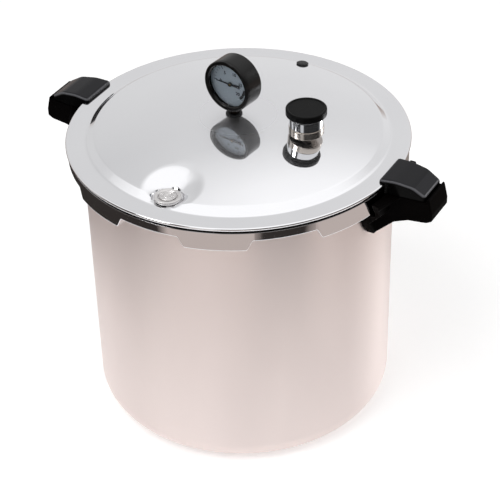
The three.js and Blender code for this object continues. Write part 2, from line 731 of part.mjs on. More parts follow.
function lockAssembly() {
  const bore = PLUNGER_SHAFT + GAP;
  const neckEnd = RIM_TOP + GAP - COLLAR_NECK_LENGTH;
  const seat = RIM_TOP + GAP;
  const wellFloor = seat + COLLAR_FLOOR;
  const brim = seat + COLLAR_HEIGHT;
  const collar = [
    [bore, neckEnd], [COLLAR_NECK, neckEnd], [COLLAR_NECK, seat], [COLLAR_RADIUS, seat],
    [COLLAR_RADIUS, brim - CUT], [COLLAR_RADIUS - CUT, brim], [COLLAR_WELL + CUT, brim],
    [COLLAR_WELL, brim - CUT], [COLLAR_WELL, wellFloor], [bore, wellFloor],
  ];
  const nutTop = RIM_TOP - COVER_SHEET - GAP;
  const nut = without(
    solid(hexagon(COLLAR_NUT_ACROSS, nutTop - COLLAR_NUT_HEIGHT, nutTop)),
    cylinder(COLLAR_NECK + GAP, nutTop - COLLAR_NUT_HEIGHT - CUT, nutTop + CUT),
  );
  return placed([...polar(LOCK_OFFSET, LOCK_TURN), 0],
    piece('lock_collar', revolve(collar, SMALL_ROUND), 'polishedAluminium'),
    piece('lock_collar_nut', geometryOf(nut), 'steel'),
    lockPlunger(wellFloor),
    lockGasket());
}

function lockPlunger(wellFloor) {
  const footTop = plungerFootTop();
  const footLow = footTop - PLUNGER_FOOT_HEIGHT;
  const discLow = wellFloor + GAP;
  const discTop = discLow + PLUNGER_DISC_HEIGHT;
  const disc = COLLAR_WELL - 2 * GAP;
  const profile = [
    [0, footLow], [PLUNGER_FOOT - CUT, footLow], [PLUNGER_FOOT, footLow + CUT], [PLUNGER_FOOT, footTop],
    [PLUNGER_SHAFT, footTop], [PLUNGER_SHAFT, discLow], [disc, discLow], [disc, discTop - CUT / 2],
    [disc - CUT / 2, discTop], [disc * 0.6, discTop], [disc * 0.52, discTop - CUT / 2],
    [disc * 0.3, discTop - CUT / 2], [disc * 0.22, discTop], [0, discTop],
  ];
  return piece('lock_plunger', revolve(profile, SMALL_ROUND), 'polishedAluminium');
}

function lockGasket() {
  const low = plungerFootTop() + GAP;
  const high = low + LOCK_GASKET_HEIGHT;
  const inner = PLUNGER_SHAFT + GAP;
  const profile = [[inner, low], [PLUNGER_FOOT - CUT, low], [PLUNGER_FOOT - CUT, high], [inner, high]];
  return piece('lock_gasket', revolve(profile, SMALL_ROUND), 'rubber');
}

// ================================================================ steam gauge
/** Height of the flat that the gauge stands on. */
function gaugeLand() {
  return domeHeight(STEM_WASHER + GAP + Math.hypot(GAUGE_X, GAUGE_Y));
}

function gaugeCentre() {
  return gaugeLand() + GAUGE_RISE + GAUGE_RADIUS;
}

const GAUGE_BACK = -GAUGE_DEPTH / 2;
const GAUGE_FRONT = GAUGE_DEPTH / 2;
const CASE_FRONT = GAUGE_FRONT - BEZEL_DEPTH - GAP;
const LENS_BACK = CASE_FRONT - LENS_THICKNESS;
const DIAL_FRONT = LENS_BACK - DIAL_SINK;
const DIAL_BACK = DIAL_FRONT - DIAL_THICKNESS;
const FRONT_PLATE_FACE = DIAL_BACK - 4 * GAP;
const FRONT_PLATE_BACK = FRONT_PLATE_FACE - PLATE_THICKNESS;
const BACK_PLATE_FACE = FRONT_PLATE_BACK - PLATE_SPACE;
const BACK_PLATE_BACK = BACK_PLATE_FACE - PLATE_THICKNESS;
const PINION_CENTRE = [0, 0];
const GEAR_DISTANCE = (GEAR_MODULE * (PINION_TEETH + SECTOR_FULL_TEETH)) / 2;
const SECTOR_CENTRE = polar(GEAR_DISTANCE, SECTOR_TURN);
const SECTOR_BACK = BACK_PLATE_FACE + 1;
const SECTOR_FRONT = SECTOR_BACK + 1.2;
const LINK_BACK = SECTOR_FRONT + 2 * GAP;
const LINK_FRONT = LINK_BACK + 0.8;
const BLOCK_TOP = -16; // of the stem's block, below the dial's centre
const STEM_SEAT = 3; // height of the block's widest part, from the case's inside
const PLATE_FOOT = CASE_WALL - GAUGE_RADIUS + STEM_SEAT + 4 * GAP; // lower edge of the movement plates

function gaugeCase() {
  const inner = GAUGE_RADIUS - CASE_WALL;
  const cup = solid(revolve([
    [0, GAUGE_BACK], [GAUGE_RADIUS - CASE_EDGE, GAUGE_BACK], [GAUGE_RADIUS, GAUGE_BACK + CASE_EDGE],
    [GAUGE_RADIUS, CASE_FRONT], [inner, CASE_FRONT], [inner, GAUGE_BACK + CASE_WALL],
    [0, GAUGE_BACK + CASE_WALL],
  ], GAUGE_ROUND));
  const stemHole = cylinder(STEM_SHANK + GAP, 0, GAUGE_RADIUS + CUT).rotateX(Math.PI / 2);
  return piece('gauge_case', geometryOf(without(cup, stemHole)), 'blackMetal');
}

function gaugeBezel() {
  const low = CASE_FRONT + GAP;
  const inner = GAUGE_RADIUS - BEZEL_FACE;
  const profile = [
    [inner, low], [GAUGE_RADIUS, low], [GAUGE_RADIUS, GAUGE_FRONT - CUT], [GAUGE_RADIUS - CUT, GAUGE_FRONT],
    [inner + 2 * CUT, GAUGE_FRONT], [inner, GAUGE_FRONT - CUT],
  ];
  return piece('gauge_bezel', revolve(profile, GAUGE_ROUND), 'blackMetal');
}

function gaugeLens() {
  const radius = GAUGE_RADIUS - CASE_WALL - GAP;
  return piece('gauge_lens', cylinder(radius, LENS_BACK, CASE_FRONT, GAUGE_ROUND), 'lens');
}

function gaugeDial() {
  const radius = GAUGE_RADIUS - CASE_WALL - 2 * GAP;
  const bore = ARBOR + 3 * GAP;
  const profile = [[bore, DIAL_BACK], [radius, DIAL_BACK], [radius, DIAL_FRONT], [bore, DIAL_FRONT]];
  return piece('gauge_dial', revolve(profile, GAUGE_ROUND), 'dialFace');
}

/** Turns a geometry on the case's own axis so that it stands on the stem's axis. */
function onStem(geometry) {
  return geometry.rotateX(-Math.PI / 2);
}

/** The stem: hexagon and threaded shank below the case, and the block that carries the movement. */
function gaugeStem() {
  const wall = CASE_WALL - GAUGE_RADIUS;
  const foot = STEM_WASHER_HEIGHT + 2 * GAP - GAUGE_RADIUS - GAUGE_RISE;
  const back = GAUGE_BACK + CASE_WALL + CUT;
  const neck = STEM_SHANK * 0.7;
  const stem = without(
    joined(
      onStem(hexagon(STEM_ACROSS, foot, -GAUGE_RADIUS - GAP)),
      onStem(cylinder(STEM_SHANK, foot - STEM_SHANK_LENGTH, wall + GAP)),
      box([-neck, wall - CUT, -neck], [neck, wall + STEM_SEAT, DIAL_BACK - GAP]),
      box([-STEM_SHANK, wall + CUT, back], [STEM_SHANK, wall + STEM_SEAT, 0]),
      box([-STEM_SHANK, wall + CUT, back], [STEM_SHANK, BLOCK_TOP, BACK_PLATE_BACK - GAP]),
    ),
    onStem(cylinder(STEM_BORE, foot - STEM_SHANK_LENGTH - CUT, wall)),
  );
  return piece('gauge_stem', geometryOf(stem), 'brass');
}

/** Pieces round the stem where it passes the cover, in the gauge's own frame. */
function stemSeat() {
  const land = -GAUGE_RADIUS - GAUGE_RISE;
  const bore = STEM_SHANK + GAP;
  const washerLow = land + GAP;
  const washer = [
    [bore, washerLow], [STEM_WASHER, washerLow], [STEM_WASHER, washerLow + STEM_WASHER_HEIGHT],
    [bore, washerLow + STEM_WASHER_HEIGHT],
  ];
  const nutTop = land - COVER_SHEET - GAP;
  const nut = without(
    solid(onStem(hexagon(STEM_NUT_ACROSS, nutTop - STEM_NUT_HEIGHT, nutTop))),
    onStem(cylinder(bore, nutTop - STEM_NUT_HEIGHT - CUT, nutTop + CUT)),
  );
  return [
    piece('gauge_washer', onStem(revolve(washer, SMALL_ROUND)), 'rubber'),
    piece('gauge_stem_nut', geometryOf(nut), 'brass'),
  ];
}

/** The curved pressure tube, from the stem's block round to its free end. */
function bourdonTube() {
  const start = -90 - THREE.MathUtils.radToDeg(Math.asin((STEM_SHANK + 2 * GAP) / TUBE_RADIUS)) - 3;
  const back = GAUGE_BACK + CASE_WALL + CUT;
  const section = outlineOf([
    [-TUBE_DEPTH / 2, -TUBE_WIDTH / 2, 0.8], [TUBE_DEPTH / 2, -TUBE_WIDTH / 2, 0.8],
    [TUBE_DEPTH / 2, TUBE_WIDTH / 2, 0.8], [-TUBE_DEPTH / 2, TUBE_WIDTH / 2, 0.8],
  ]);
  const points = Array.from({ length: TUBE_STEPS + 1 }, (_, i) => {
    const [x, y] = polar(TUBE_RADIUS, start - (TUBE_SWEEP * i) / TUBE_STEPS);
    return new THREE.Vector3(x, y, back + TUBE_DEPTH / 2);
  });
  const extrudePath = new THREE.CatmullRomCurve3(points);
  const options = { steps: TUBE_STEPS, extrudePath, curveSegments: 1 };
  return piece('bourdon_tube', new THREE.ExtrudeGeometry(section, options), 'brass');
}

/** Half-angle of an involute tooth at a radius, and its radial flank inside the base circle. */
function toothHalfAngle(radius, pitchRadius, teeth) {
  const pressure = radians(PRESSURE_ANGLE);
  const base = pitchRadius * Math.cos(pressure);
  const involute = (angle) => Math.tan(angle) - angle;
  const here = Math.acos(Math.min(1, base / Math.max(radius, base)));
  const atPitch = Math.PI / (2 * teeth) - BACKLASH / 2 / pitchRadius;
  return atPitch + involute(pressure) - involute(here);
}

/** Outline points of one tooth, counter-clockwise round its wheel, with its middle at the angle. */
function toothPoints(middle, teeth, centre) {
  const pitchRadius = (GEAR_MODULE * teeth) / 2;
  const root = pitchRadius - DEDENDUM * GEAR_MODULE;
  const tip = pitchRadius + ADDENDUM * GEAR_MODULE;
  const flank = [root, pitchRadius, tip];
  const at = (radius, side) => {
    const angle = middle + side * toothHalfAngle(radius, pitchRadius, teeth);
    return new THREE.Vector2(centre[0] + radius * Math.cos(angle), centre[1] + radius * Math.sin(angle));
  };
  return [...flank.map((radius) => at(radius, -1)), ...flank.reverse().map((radius) => at(radius, 1))];
}

/** The pinion on the pointer's arbor, with a tooth space towards the sector. */
function pointerPinion() {
  const first = radians(SECTOR_TURN) + Math.PI / PINION_TEETH;
  const outline = Array.from({ length: PINION_TEETH }, (_, i) =>
    toothPoints(first + (2 * Math.PI * i) / PINION_TEETH, PINION_TEETH, PINION_CENTRE)).flat();
  const pinion = joined(
    plate(new THREE.Shape(outline), SECTOR_BACK - GAP, SECTOR_FRONT + GAP),
    cylinder(ARBOR, BACK_PLATE_BACK, DIAL_FRONT + 2, TINY_ROUND),
  );
  return piece('pointer_pinion', geometryOf(pinion), 'brass');
}

/** The toothed sector, its arbor and the tail that the link pulls. */
function sectorGear() {
  const towardsPinion = radians(SECTOR_TURN + 180);
  const pitch = (2 * Math.PI) / SECTOR_FULL_TEETH;
  const last = SECTOR_TEETH - 2;
  const teeth = Array.from({ length: SECTOR_TEETH }, (_, i) =>
    toothPoints(towardsPinion + (i - last) * pitch, SECTOR_FULL_TEETH, SECTOR_CENTRE)).flat();
  const hub = new THREE.Vector2(...SECTOR_CENTRE);
  const rib = (angle, distance) => hub.clone().add(new THREE.Vector2(...polar(distance, angle)));
  const low = THREE.MathUtils.radToDeg(towardsPinion - (last + 1) * pitch);
  const high = THREE.MathUtils.radToDeg(towardsPinion + 2 * pitch);
  const outline = [
    ...teeth, rib(high, SECTOR_RIM), rib(high + SECTOR_FLARE, SECTOR_HUB),
    rib(low - SECTOR_FLARE, SECTOR_HUB), rib(low, SECTOR_RIM),
  ];
  const window = [
    rib(high - SECTOR_RIB, SECTOR_RIM - ARBOR), rib((low + high) / 2, SECTOR_HUB + ARBOR),
    rib(low + SECTOR_RIB, SECTOR_RIM - ARBOR),
  ];
  const [tailX, tailY] = tailPlace();
  const tail = tailBar(SECTOR_CENTRE, [tailX, tailY], LINK_PIN + LINK_EYE, SECTOR_BACK, SECTOR_FRONT);
  const gear = without(
    joined(
      plate(new THREE.Shape(outline), SECTOR_BACK, SECTOR_FRONT),
      cylinder(SECTOR_HUB, SECTOR_BACK, SECTOR_FRONT, SMALL_ROUND).translate(...SECTOR_CENTRE, 0),
      cylinder(ARBOR, BACK_PLATE_BACK, FRONT_PLATE_FACE, TINY_ROUND).translate(...SECTOR_CENTRE, 0),
      tail,
      cylinder(LINK_PIN, SECTOR_BACK, LINK_FRONT + GAP, TINY_ROUND).translate(tailX, tailY, 0),
    ),
    plate(new THREE.Shape(window), SECTOR_BACK - CUT, SECTOR_FRONT + CUT),
  );
  return piece('sector_gear', geometryOf(gear), 'brass');
}

function tailPlace() {
  const [x, y] = polar(SECTOR_TAIL, SECTOR_TURN);
  return [SECTOR_CENTRE[0] + x, SECTOR_CENTRE[1] + y];
}

/** A flat bar with round ends between two centres. */
function tailBar(from, to, radius, low, high) {
  const along = Math.atan2(to[1] - from[1], to[0] - from[0]);
  const shape = new THREE.Shape();
  shape.absarc(...from, radius, along + Math.PI / 2, along + (3 * Math.PI) / 2, false);
  shape.absarc(...to, radius, along - Math.PI / 2, along + Math.PI / 2, false);
  shape.closePath();
  return plate(shape, low, high, 5);
}

/** The link between the sector's tail and the tube's free end, with its own pin at the tube. */
function gaugeLink() {
  const tail = tailPlace();
  const tubeFront = GAUGE_BACK + CASE_WALL + CUT + TUBE_DEPTH;
  const tubeEnd = polar(TUBE_RADIUS, -2);
  const link = without(
    joined(
      tailBar(tail, tubeEnd, LINK_PIN + LINK_EYE + GAP, LINK_BACK, LINK_FRONT),
      cylinder(LINK_PIN, tubeFront + GAP, LINK_FRONT, TINY_ROUND).translate(...tubeEnd, 0),
    ),
    cylinder(LINK_PIN + GAP, LINK_BACK - CUT, LINK_FRONT + CUT, TINY_ROUND).translate(...tail, 0),
  );
  return piece('gauge_link', geometryOf(link), 'brass');
}

/** Corners of the movement plates, each with the rounding of its edge. */
function plateOutline() {
  const e = PLATE_EDGE;
  const [sx, sy] = SECTOR_CENTRE;
  const [[leftX, topY], [rightX]] = PILLARS;
  return outlineOf([
    [leftX - e, topY - e, e], [-STEM_SHANK, PLATE_FOOT, e], [rightX + e, PLATE_FOOT, e],
    [sx + e, sy - e, e], [sx + e, sy + e, e], [e, topY + e, e], [leftX - e, topY + e, e],
  ]);
}

function movementPlates() {
  const arborHoles = (low, high) => [PINION_CENTRE, SECTOR_CENTRE].map((at) =>
    cylinder(ARBOR + GAP, low - CUT, high + CUT, TINY_ROUND).translate(...at, 0));
  const back = without(
    solid(plate(plateOutline(), BACK_PLATE_BACK, BACK_PLATE_FACE)),
    ...arborHoles(BACK_PLATE_BACK, BACK_PLATE_FACE),
  );
  const pillars = PILLARS.map((at) =>
    cylinder(PILLAR, BACK_PLATE_FACE + GAP, DIAL_BACK - GAP, TINY_ROUND).translate(...at, 0));
  const front = without(
    joined(plate(plateOutline(), FRONT_PLATE_BACK, FRONT_PLATE_FACE), ...pillars),
    ...arborHoles(FRONT_PLATE_BACK, FRONT_PLATE_FACE),
  );
  return [
    piece('movement_back_plate', geometryOf(back), 'brass'),
    piece('movement_front_plate', geometryOf(front), 'brass'),
  ];
}

/** The pointer, at rest towards nine o'clock, with its counterweight opposite. */
function gaugePointer() {
  const low = DIAL_FRONT + CUT;
  const high = low + POINTER_THICKNESS;
  const blade = new THREE.Shape([
    [-POINTER_LENGTH, 0], [-POINTER_LENGTH + 3, -0.9], [0, -0.9], [POINTER_TAIL, -1.6], [POINTER_TAIL, 1.6],
    [0, 0.9], [-POINTER_LENGTH + 3, 0.9],
  ].map(([x, y]) => new THREE.Vector2(x, y)));
  const pointer = without(
    joined(plate(blade, low, high), cylinder(POINTER_HUB, low - GAP, high + GAP, SMALL_ROUND)),
    cylinder(ARBOR + GAP, low - CUT, high + CUT, TINY_ROUND),
  );
  return piece('gauge_pointer', geometryOf(pointer), 'blackMetal');
}

/** The whole gauge in a frame whose +Z comes out of the dial and whose +Y is up. */
function gaugeAssembly() {
  const group = placed([GAUGE_X, GAUGE_Y, gaugeCentre()],
    gaugeCase(), gaugeBezel(), gaugeLens(), gaugeDial(), gaugeStem(), ...stemSeat(), bourdonTube(),
    ...movementPlates(), sectorGear(), gaugeLink(), pointerPinion(), gaugePointer());
  group.rotation.set(Math.PI / 2, 0, radians(GAUGE_YAW), 'ZYX');
  return group;
}

// ================================================================ handles
/** A sheet strap: a curved back on a round wall and a tongue that stands out under a handle. */
function strap(name, depth, wallRadius, top, reach) {
  const inner = wallRadius + GAP;
  const half = STRAP_WIDTH / 2;
  const low = top - depth;
  const back = outlineOf([[-half, low, STRAP_CORNER], [half, low, STRAP_CORNER], [half, top], [-half, top]]);
  const end = inner + reach;
  const foot = inner + STRAP / 8;
  const tongue = outlineOf([
    [foot, -half], [end, -half, STRAP_CORNER], [end, half, STRAP_CORNER], [foot, half],
  ]);
  const bracket = without(
    joined(
      wrapped(back, inner, inner + STRAP),
      plate(tongue, top - STRAP, top),
    ),
    cylinder(SCREW_RADIUS + GAP, top - STRAP - CUT, top + CUT).translate(end - SCREW_INSET, 0, 0),
  );
  return piece(name, geometryOf(bracket), 'steel');
}

/** The screw that holds a handle down on its strap, head below. */
function strapScrew(name, grip, wallRadius, top, reach) {
  const headTop = top - STRAP - GAP;
  const headLow = headTop - SCREW_HEAD_HEIGHT;
  const profile = [
    [0, headLow], [SCREW_HEAD - CUT, headLow], [SCREW_HEAD, headLow + CUT], [SCREW_HEAD, headTop],
    [SCREW_RADIUS, headTop], [SCREW_RADIUS, top + grip], [0, top + grip],
  ];
  const screw = revolve(profile, SMALL_ROUND).translate(wallRadius + GAP + reach - SCREW_INSET, 0, 0);
  return piece(name, screw, 'steel');
}

/** What a handle leaves free for its strap and screw, open below. */
function strapRoom(wallRadius, low, top, reach, grip) {
  const half = STRAP_WIDTH / 2 + GAP;
  const end = wallRadius + 2 * GAP + reach;
  return [
    box([wallRadius - CUT, -half, low], [end, half, top + GAP]),
    cylinder(SCREW_RADIUS + GAP, top, top + GAP + grip).translate(end - GAP - SCREW_INSET, 0, 0),
  ];
}

/** Narrows a geometry along X, from its full width at one place to a share of it at another. */
function tapered(geometry, from, to, share) {
  const points = geometry.attributes.position;
  for (let i = 0; i < points.count; i += 1) {
    const along = THREE.MathUtils.clamp((points.getX(i) - from) / (to - from), 0, 1);
    points.setY(i, points.getY(i) * THREE.MathUtils.lerp(1, share, along));
  }
  return geometry;
}

function coverHandle(side) {
  const inner = BEAD_RADIUS - COVER_HANDLE_LAP;
  const end = COVER_HANDLE_END;
  const low = HANDLE_SPLIT + HANDLE_CLEARANCE;
  const bevel = COVER_HANDLE_BEVEL;
  const below = low - 2 * bevel;
  const half = COVER_HANDLE_WIDTH / 2;
  const profile = outlineOf([
    [inner, below], [end, below], [end, RIM_TOP - COVER_HANDLE_NOSE, COVER_HANDLE_EDGE],
    [end - COVER_HANDLE_BROW_LENGTH, RIM_TOP + COVER_HANDLE_BROW, COVER_HANDLE_BROW_LENGTH / 2],
    [inner + 2 * COVER_HANDLE_LAP, RIM_TOP + COVER_HANDLE_CREST, COVER_HANDLE_LAP],
    [inner + COVER_HANDLE_LEAN, RIM_TOP + COVER_HANDLE_RISE, COVER_HANDLE_EDGE],
  ]);
  const blank = bevelledBar(profile, COVER_HANDLE_WIDTH, bevel);
  const handle = without(
    solid(tapered(blank, inner, end, COVER_HANDLE_TAPER)),
    box([inner - CUT, -half - CUT, below - CUT], [end + CUT, half + CUT, low]),
    cylinder(BEAD_RADIUS + GAP, low - CUT, RIM_TOP + GAP, ROUND),
    ...strapRoom(SKIRT_OUTER, low - CUT, COVER_STRAP_TOP, COVER_STRAP_REACH, COVER_SCREW_GRIP),
  );
  return piece(`cover_handle_${side}`, geometryOf(handle), 'phenolic');
}

/** A body handle's grip with the lip at its end, and the height of the lip over all of it, from the side. */
function gripOutline(root, end) {
  const wall = BODY_RADIUS + GAP;
  const foot = HANDLE_SPLIT - GRIP_ROOT;
  const neck = [wall + GRIP_NECK_REACH, HANDLE_SPLIT - GRIP_NECK];
  const under = HANDLE_SPLIT - GRIP_DEPTH;
  const lipOuter = COVER_HANDLE_END + LIP_CLEARANCE + LIP_THICKNESS;
  const lipTop = HANDLE_SPLIT + LIP_RISE;
  return outlineOf([
    [root, foot], [wall + FOOT_THICKNESS, foot], [...neck, FOOT_THICKNESS],
    [neck[0] + GRIP_WIDTH / 3, under - GRIP_BEVEL, FOOT_THICKNESS], [end - 2 * GRIP_HEEL, under, GRIP_HEEL],
    [end, under + GRIP_HEEL, GRIP_HEEL], [end, HANDLE_SPLIT - WING_DEPTH, GRIP_HEEL], [lipOuter, lipTop],
    [root, lipTop],
  ]);
}

/** An outline from the corners of its upper half, that start furthest along X. */
function bothSides(corners) {
  const mirror = corners.map(([x, y, ...rounding]) => [x, -y, ...rounding]);
  return outlineOf([...corners, ...mirror.reverse()]);
}

/** The part of a body handle that hugs the skirt and stands on the wall with its foot. */
function handleWings(root) {
  const wall = BODY_RADIUS + GAP;
  const way = BEAD_RADIUS + SKIRT_WAY;
  const foot = HANDLE_SPLIT - FOOT_DROP;
  const shoulder = HANDLE_SPLIT - FOOT_SHOULDER;
  const waist = HANDLE_SPLIT - WING_DEPTH;
  const section = revolve([
    [wall - CUT, foot], [wall + FOOT_THICKNESS - CUT, foot], [wall + FOOT_THICKNESS, foot + CUT],
    [wall + FOOT_THICKNESS, shoulder], [way + WING_THICKNESS, waist - WING_THICKNESS],
    [way + WING_THICKNESS + CUT, waist + WING_THICKNESS], [way + WING_FILLET, HANDLE_SPLIT - CUT],
    [way + WING_FILLET, HANDLE_SPLIT], [wall - CUT, HANDLE_SPLIT],
  ]);
  const above = bothSides([
    [way + WING_FILLET, GRIP_WIDTH / 2 - GRIP_BEVEL, WING_FILLET],
    [way, WING_HALF_WIDTH, WING_THICKNESS], [root - FOOT_THICKNESS, WING_HALF_WIDTH],
  ]);
  const front = bothSides([
    [foot, FOOT_HALF_BASE, WING_THICKNESS], [shoulder, FOOT_HALF_WIDTH, WING_THICKNESS],
    [waist, WING_HALF_WAIST, WING_THICKNESS], [HANDLE_SPLIT + CUT, WING_HALF_WIDTH],
  ].reverse());
  const seen = plate(front, -way - GRIP_WIDTH, FOOT_THICKNESS - root).rotateY(-Math.PI / 2);
  return solid(section).intersect(solid(plate(above, foot - CUT, HANDLE_SPLIT + CUT))).intersect(solid(seen));
}

function bodyHandle(side) {
  const wall = BODY_RADIUS + GAP;
  const root = wall + STRAP;
  const end = COVER_HANDLE_END + LIP_CLEARANCE + LIP_THICKNESS + LIP_LEAN;
  const grip = tapered(bevelledBar(gripOutline(root, end), GRIP_WIDTH, GRIP_BEVEL),
    BEAD_RADIUS, end, GRIP_TAPER);
  const handle = without(
    handleWings(root).add(solid(grip)),
    box([root - CUT, -GRIP_WIDTH, HANDLE_SPLIT], [end - LIP_THICKNESS - LIP_LEAN, GRIP_WIDTH, RIM_TOP]),
    cylinder(wall, HANDLE_SPLIT - FOOT_DROP - CUT, HANDLE_SPLIT + CUT, ROUND),
    cylinder(BEAD_RADIUS + SKIRT_WAY, TAB_BOTTOM - 2 * CUT, HANDLE_SPLIT + CUT, ROUND),
    ...strapRoom(BODY_RADIUS, BODY_STRAP_TOP - BODY_STRAP_DEPTH - GAP, BODY_STRAP_TOP, BODY_STRAP_REACH,
      BODY_SCREW_GRIP),
  );
  return piece(`body_handle_${side}`, geometryOf(handle), 'phenolic');
}

/** Both handles of one side with their straps and screws. */
function handleSide(side, turn) {
  const onCover = [SKIRT_OUTER, COVER_STRAP_TOP, COVER_STRAP_REACH];
  const onBody = [BODY_RADIUS, BODY_STRAP_TOP, BODY_STRAP_REACH];
  const group = placed([0, 0, 0],
    coverHandle(side),
    strap(`cover_handle_bracket_${side}`, COVER_STRAP_DEPTH, ...onCover),
    strapScrew(`cover_handle_screw_${side}`, COVER_SCREW_GRIP, ...onCover),
    bodyHandle(side),
    strap(`body_handle_bracket_${side}`, BODY_STRAP_DEPTH, ...onBody),
    strapScrew(`body_handle_screw_${side}`, BODY_SCREW_GRIP, ...onBody));
  group.rotation.z = radians(turn);
  return group;
}

// ================================================================ rack
function cannerRack() {
  const under = BODY_FLOOR + GAP + RACK_STAND;
  const top = under + RACK_SHEET;
  const disc = solid(revolve([
    [0, under], [RACK_RADIUS - RACK_SHEET, under], [RACK_RADIUS - RACK_SHEET, top - RACK_LIP],
    [RACK_RADIUS, top - RACK_LIP], [RACK_RADIUS, top - 1], [RACK_RADIUS - 1, top], [0, top],
  ]));
  const ringOf = (count, offset, geometry) => Array.from({ length: count }, (_, i) =>
    geometry.clone().translate(offset, 0, 0).rotateZ((2 * Math.PI * (i + 0.5)) / count));
  const foot = (radius, low, high) =>
    revolve([[0, low], [radius(RACK_FOOT_TOE), low], [radius(RACK_FOOT_TOP), high], [0, high]], TINY_ROUND);
  const feet = ringOf(RACK_FEET, RACK_FOOT_OFFSET, foot((r) => r, BODY_FLOOR + GAP, under + RACK_SHEET / 2));
  const dimples = ringOf(RACK_FEET, RACK_FOOT_OFFSET,
    foot((r) => r - RACK_SHEET, BODY_FLOOR + GAP + RACK_SHEET, top + CUT));
  const holes = RACK_RINGS.flatMap(([inset, count]) =>
    ringOf(count, RACK_RADIUS - inset, cylinder(RACK_HOLE, under - CUT, top + CUT, 6)));
  const rack = without(feet.map(solid).reduce((whole, next) => whole.add(next), disc), ...dimples, ...holes);
  return piece('canning_rack', geometryOf(rack), 'satinAluminium');
}

// ================================================================ assembly
const canner = new THREE.Group();
canner.add(
  cannerBody(),
  lockBracket(),
  cannerRack(),
  cover(),
  sealingRing(),
  overpressurePlug(),
  ventAssembly(),
  lockAssembly(),
  gaugeAssembly(),
  handleSide('right', 0),
  handleSide('left', 180),
);

export default canner;
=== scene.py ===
"""Looks of a pressure canner: satin body, mirror cover, steam gauge, regulator and moulded handles.

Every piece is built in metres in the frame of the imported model, at the place the model gives.
"""

import json
import logging
import math
from collections.abc import Callable, Iterable, Sequence
from dataclasses import dataclass, field
from enum import Enum

import bmesh
import bpy
import numpy as np
from mathutils import Matrix, Vector


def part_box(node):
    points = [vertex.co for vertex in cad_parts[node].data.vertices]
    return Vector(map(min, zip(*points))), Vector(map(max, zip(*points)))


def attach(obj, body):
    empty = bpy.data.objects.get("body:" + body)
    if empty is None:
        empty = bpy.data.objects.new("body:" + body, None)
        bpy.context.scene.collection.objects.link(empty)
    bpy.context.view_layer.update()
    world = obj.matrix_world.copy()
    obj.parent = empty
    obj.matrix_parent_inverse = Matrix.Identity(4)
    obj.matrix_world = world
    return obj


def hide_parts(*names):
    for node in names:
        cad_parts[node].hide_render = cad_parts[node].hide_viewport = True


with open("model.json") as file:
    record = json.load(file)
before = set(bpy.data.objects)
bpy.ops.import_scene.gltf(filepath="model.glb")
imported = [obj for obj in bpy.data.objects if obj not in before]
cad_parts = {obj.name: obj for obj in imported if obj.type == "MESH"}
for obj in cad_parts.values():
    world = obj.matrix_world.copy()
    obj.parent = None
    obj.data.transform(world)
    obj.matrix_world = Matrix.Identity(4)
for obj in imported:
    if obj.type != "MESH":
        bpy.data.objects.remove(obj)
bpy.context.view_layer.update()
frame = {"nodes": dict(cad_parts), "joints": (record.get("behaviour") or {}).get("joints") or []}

LOG = logging.getLogger("canner")
MM = 0.001
Point = tuple[float, float]
Span = tuple[float, float]
Corner = tuple[float, float, float]
Stops = tuple[Point, ...]
Piece = bpy.types.Object
Socket = bpy.types.NodeSocket
Tree = bpy.types.NodeTree


class Body(Enum):
    """The rigid bodies that the pieces ride on."""

    POT = "body"
    COVER = "cover"
    REGULATOR = "regulator"
    AIR_VENT = "air_vent"
    SECTOR = "sector"
    LINK = "link"
    POINTER = "pointer"
    RACK = "rack"


class Side(Enum):
    """The two ends of the handle axis, each with its turn about +Z in degrees."""

    RIGHT = ("right", 0.0)
    LEFT = ("left", 180.0)

    @property
    def label(self) -> str:
        """The word that the side's nodes end with."""
        return self.value[0]

    @property
    def turn(self) -> Matrix:
        """The turn that takes the right side's shapes to this side."""
        return Matrix.Rotation(math.radians(self.value[1]), 4, "Z")


# ------------------------------------------------------------------------------ materials
def linear(hex_colour: str) -> tuple[float, float, float, float]:
    """Turns an sRGB hex colour to linear light.

    Args:
        hex_colour: Six hex digits, such as "1b1b1d".

    Returns:
        Red, green and blue in linear light, and full alpha.
    """
    channels = [int(hex_colour[i : i + 2], 16) / 255 for i in (0, 2, 4)]
    turned = [c / 12.92 if c <= 0.04045 else ((c + 0.055) / 1.055) ** 2.4 for c in channels]
    return (*turned, 1.0)


def add_node(
    tree: Tree, kind: str, settings: dict | None = None, links: dict | None = None
) -> bpy.types.Node:
    """Adds a node with its settings and links.

    Args:
        tree: The tree that gets the node.
        kind: The node's class name.
        settings: Attributes or inputs of the node, by name or number, and their values.
        links: Inputs of the node, by name or number, and the outputs that feed them.

    Returns:
        The new node.
    """
    node = tree.nodes.new(kind)
    for key, value in (settings or {}).items():
        if isinstance(key, str) and hasattr(node, key):
            setattr(node, key, value)
        else:
            node.inputs[key].default_value = value
    for key, socket in (links or {}).items():
        tree.links.new(socket, node.inputs[key])
    return node


def node_math(tree: Tree, operation: str, first: Socket, second: Socket | float | None = None) -> Socket:
    """One sum on one or two values.

    Args:
        tree: The tree.
        operation: Which sum.
        first: Its first value.
        second: Its second value, as a socket or a number.

    Returns:
        The result.
    """
    fixed = {1: second} if isinstance(second, (int, float)) else {}
    linked = {0: first} | ({1: second} if isinstance(second, Socket) else {})
    return add_node(tree, "ShaderNodeMath", {"operation": operation} | fixed, linked).outputs[0]


def product(tree: Tree, *factors: Socket | float) -> Socket:
    """Multiplies a socket by the sockets or numbers that follow it."""
    result = factors[0]
    for factor in factors[1:]:
        result = node_math(tree, "MULTIPLY", result, factor)
    return result


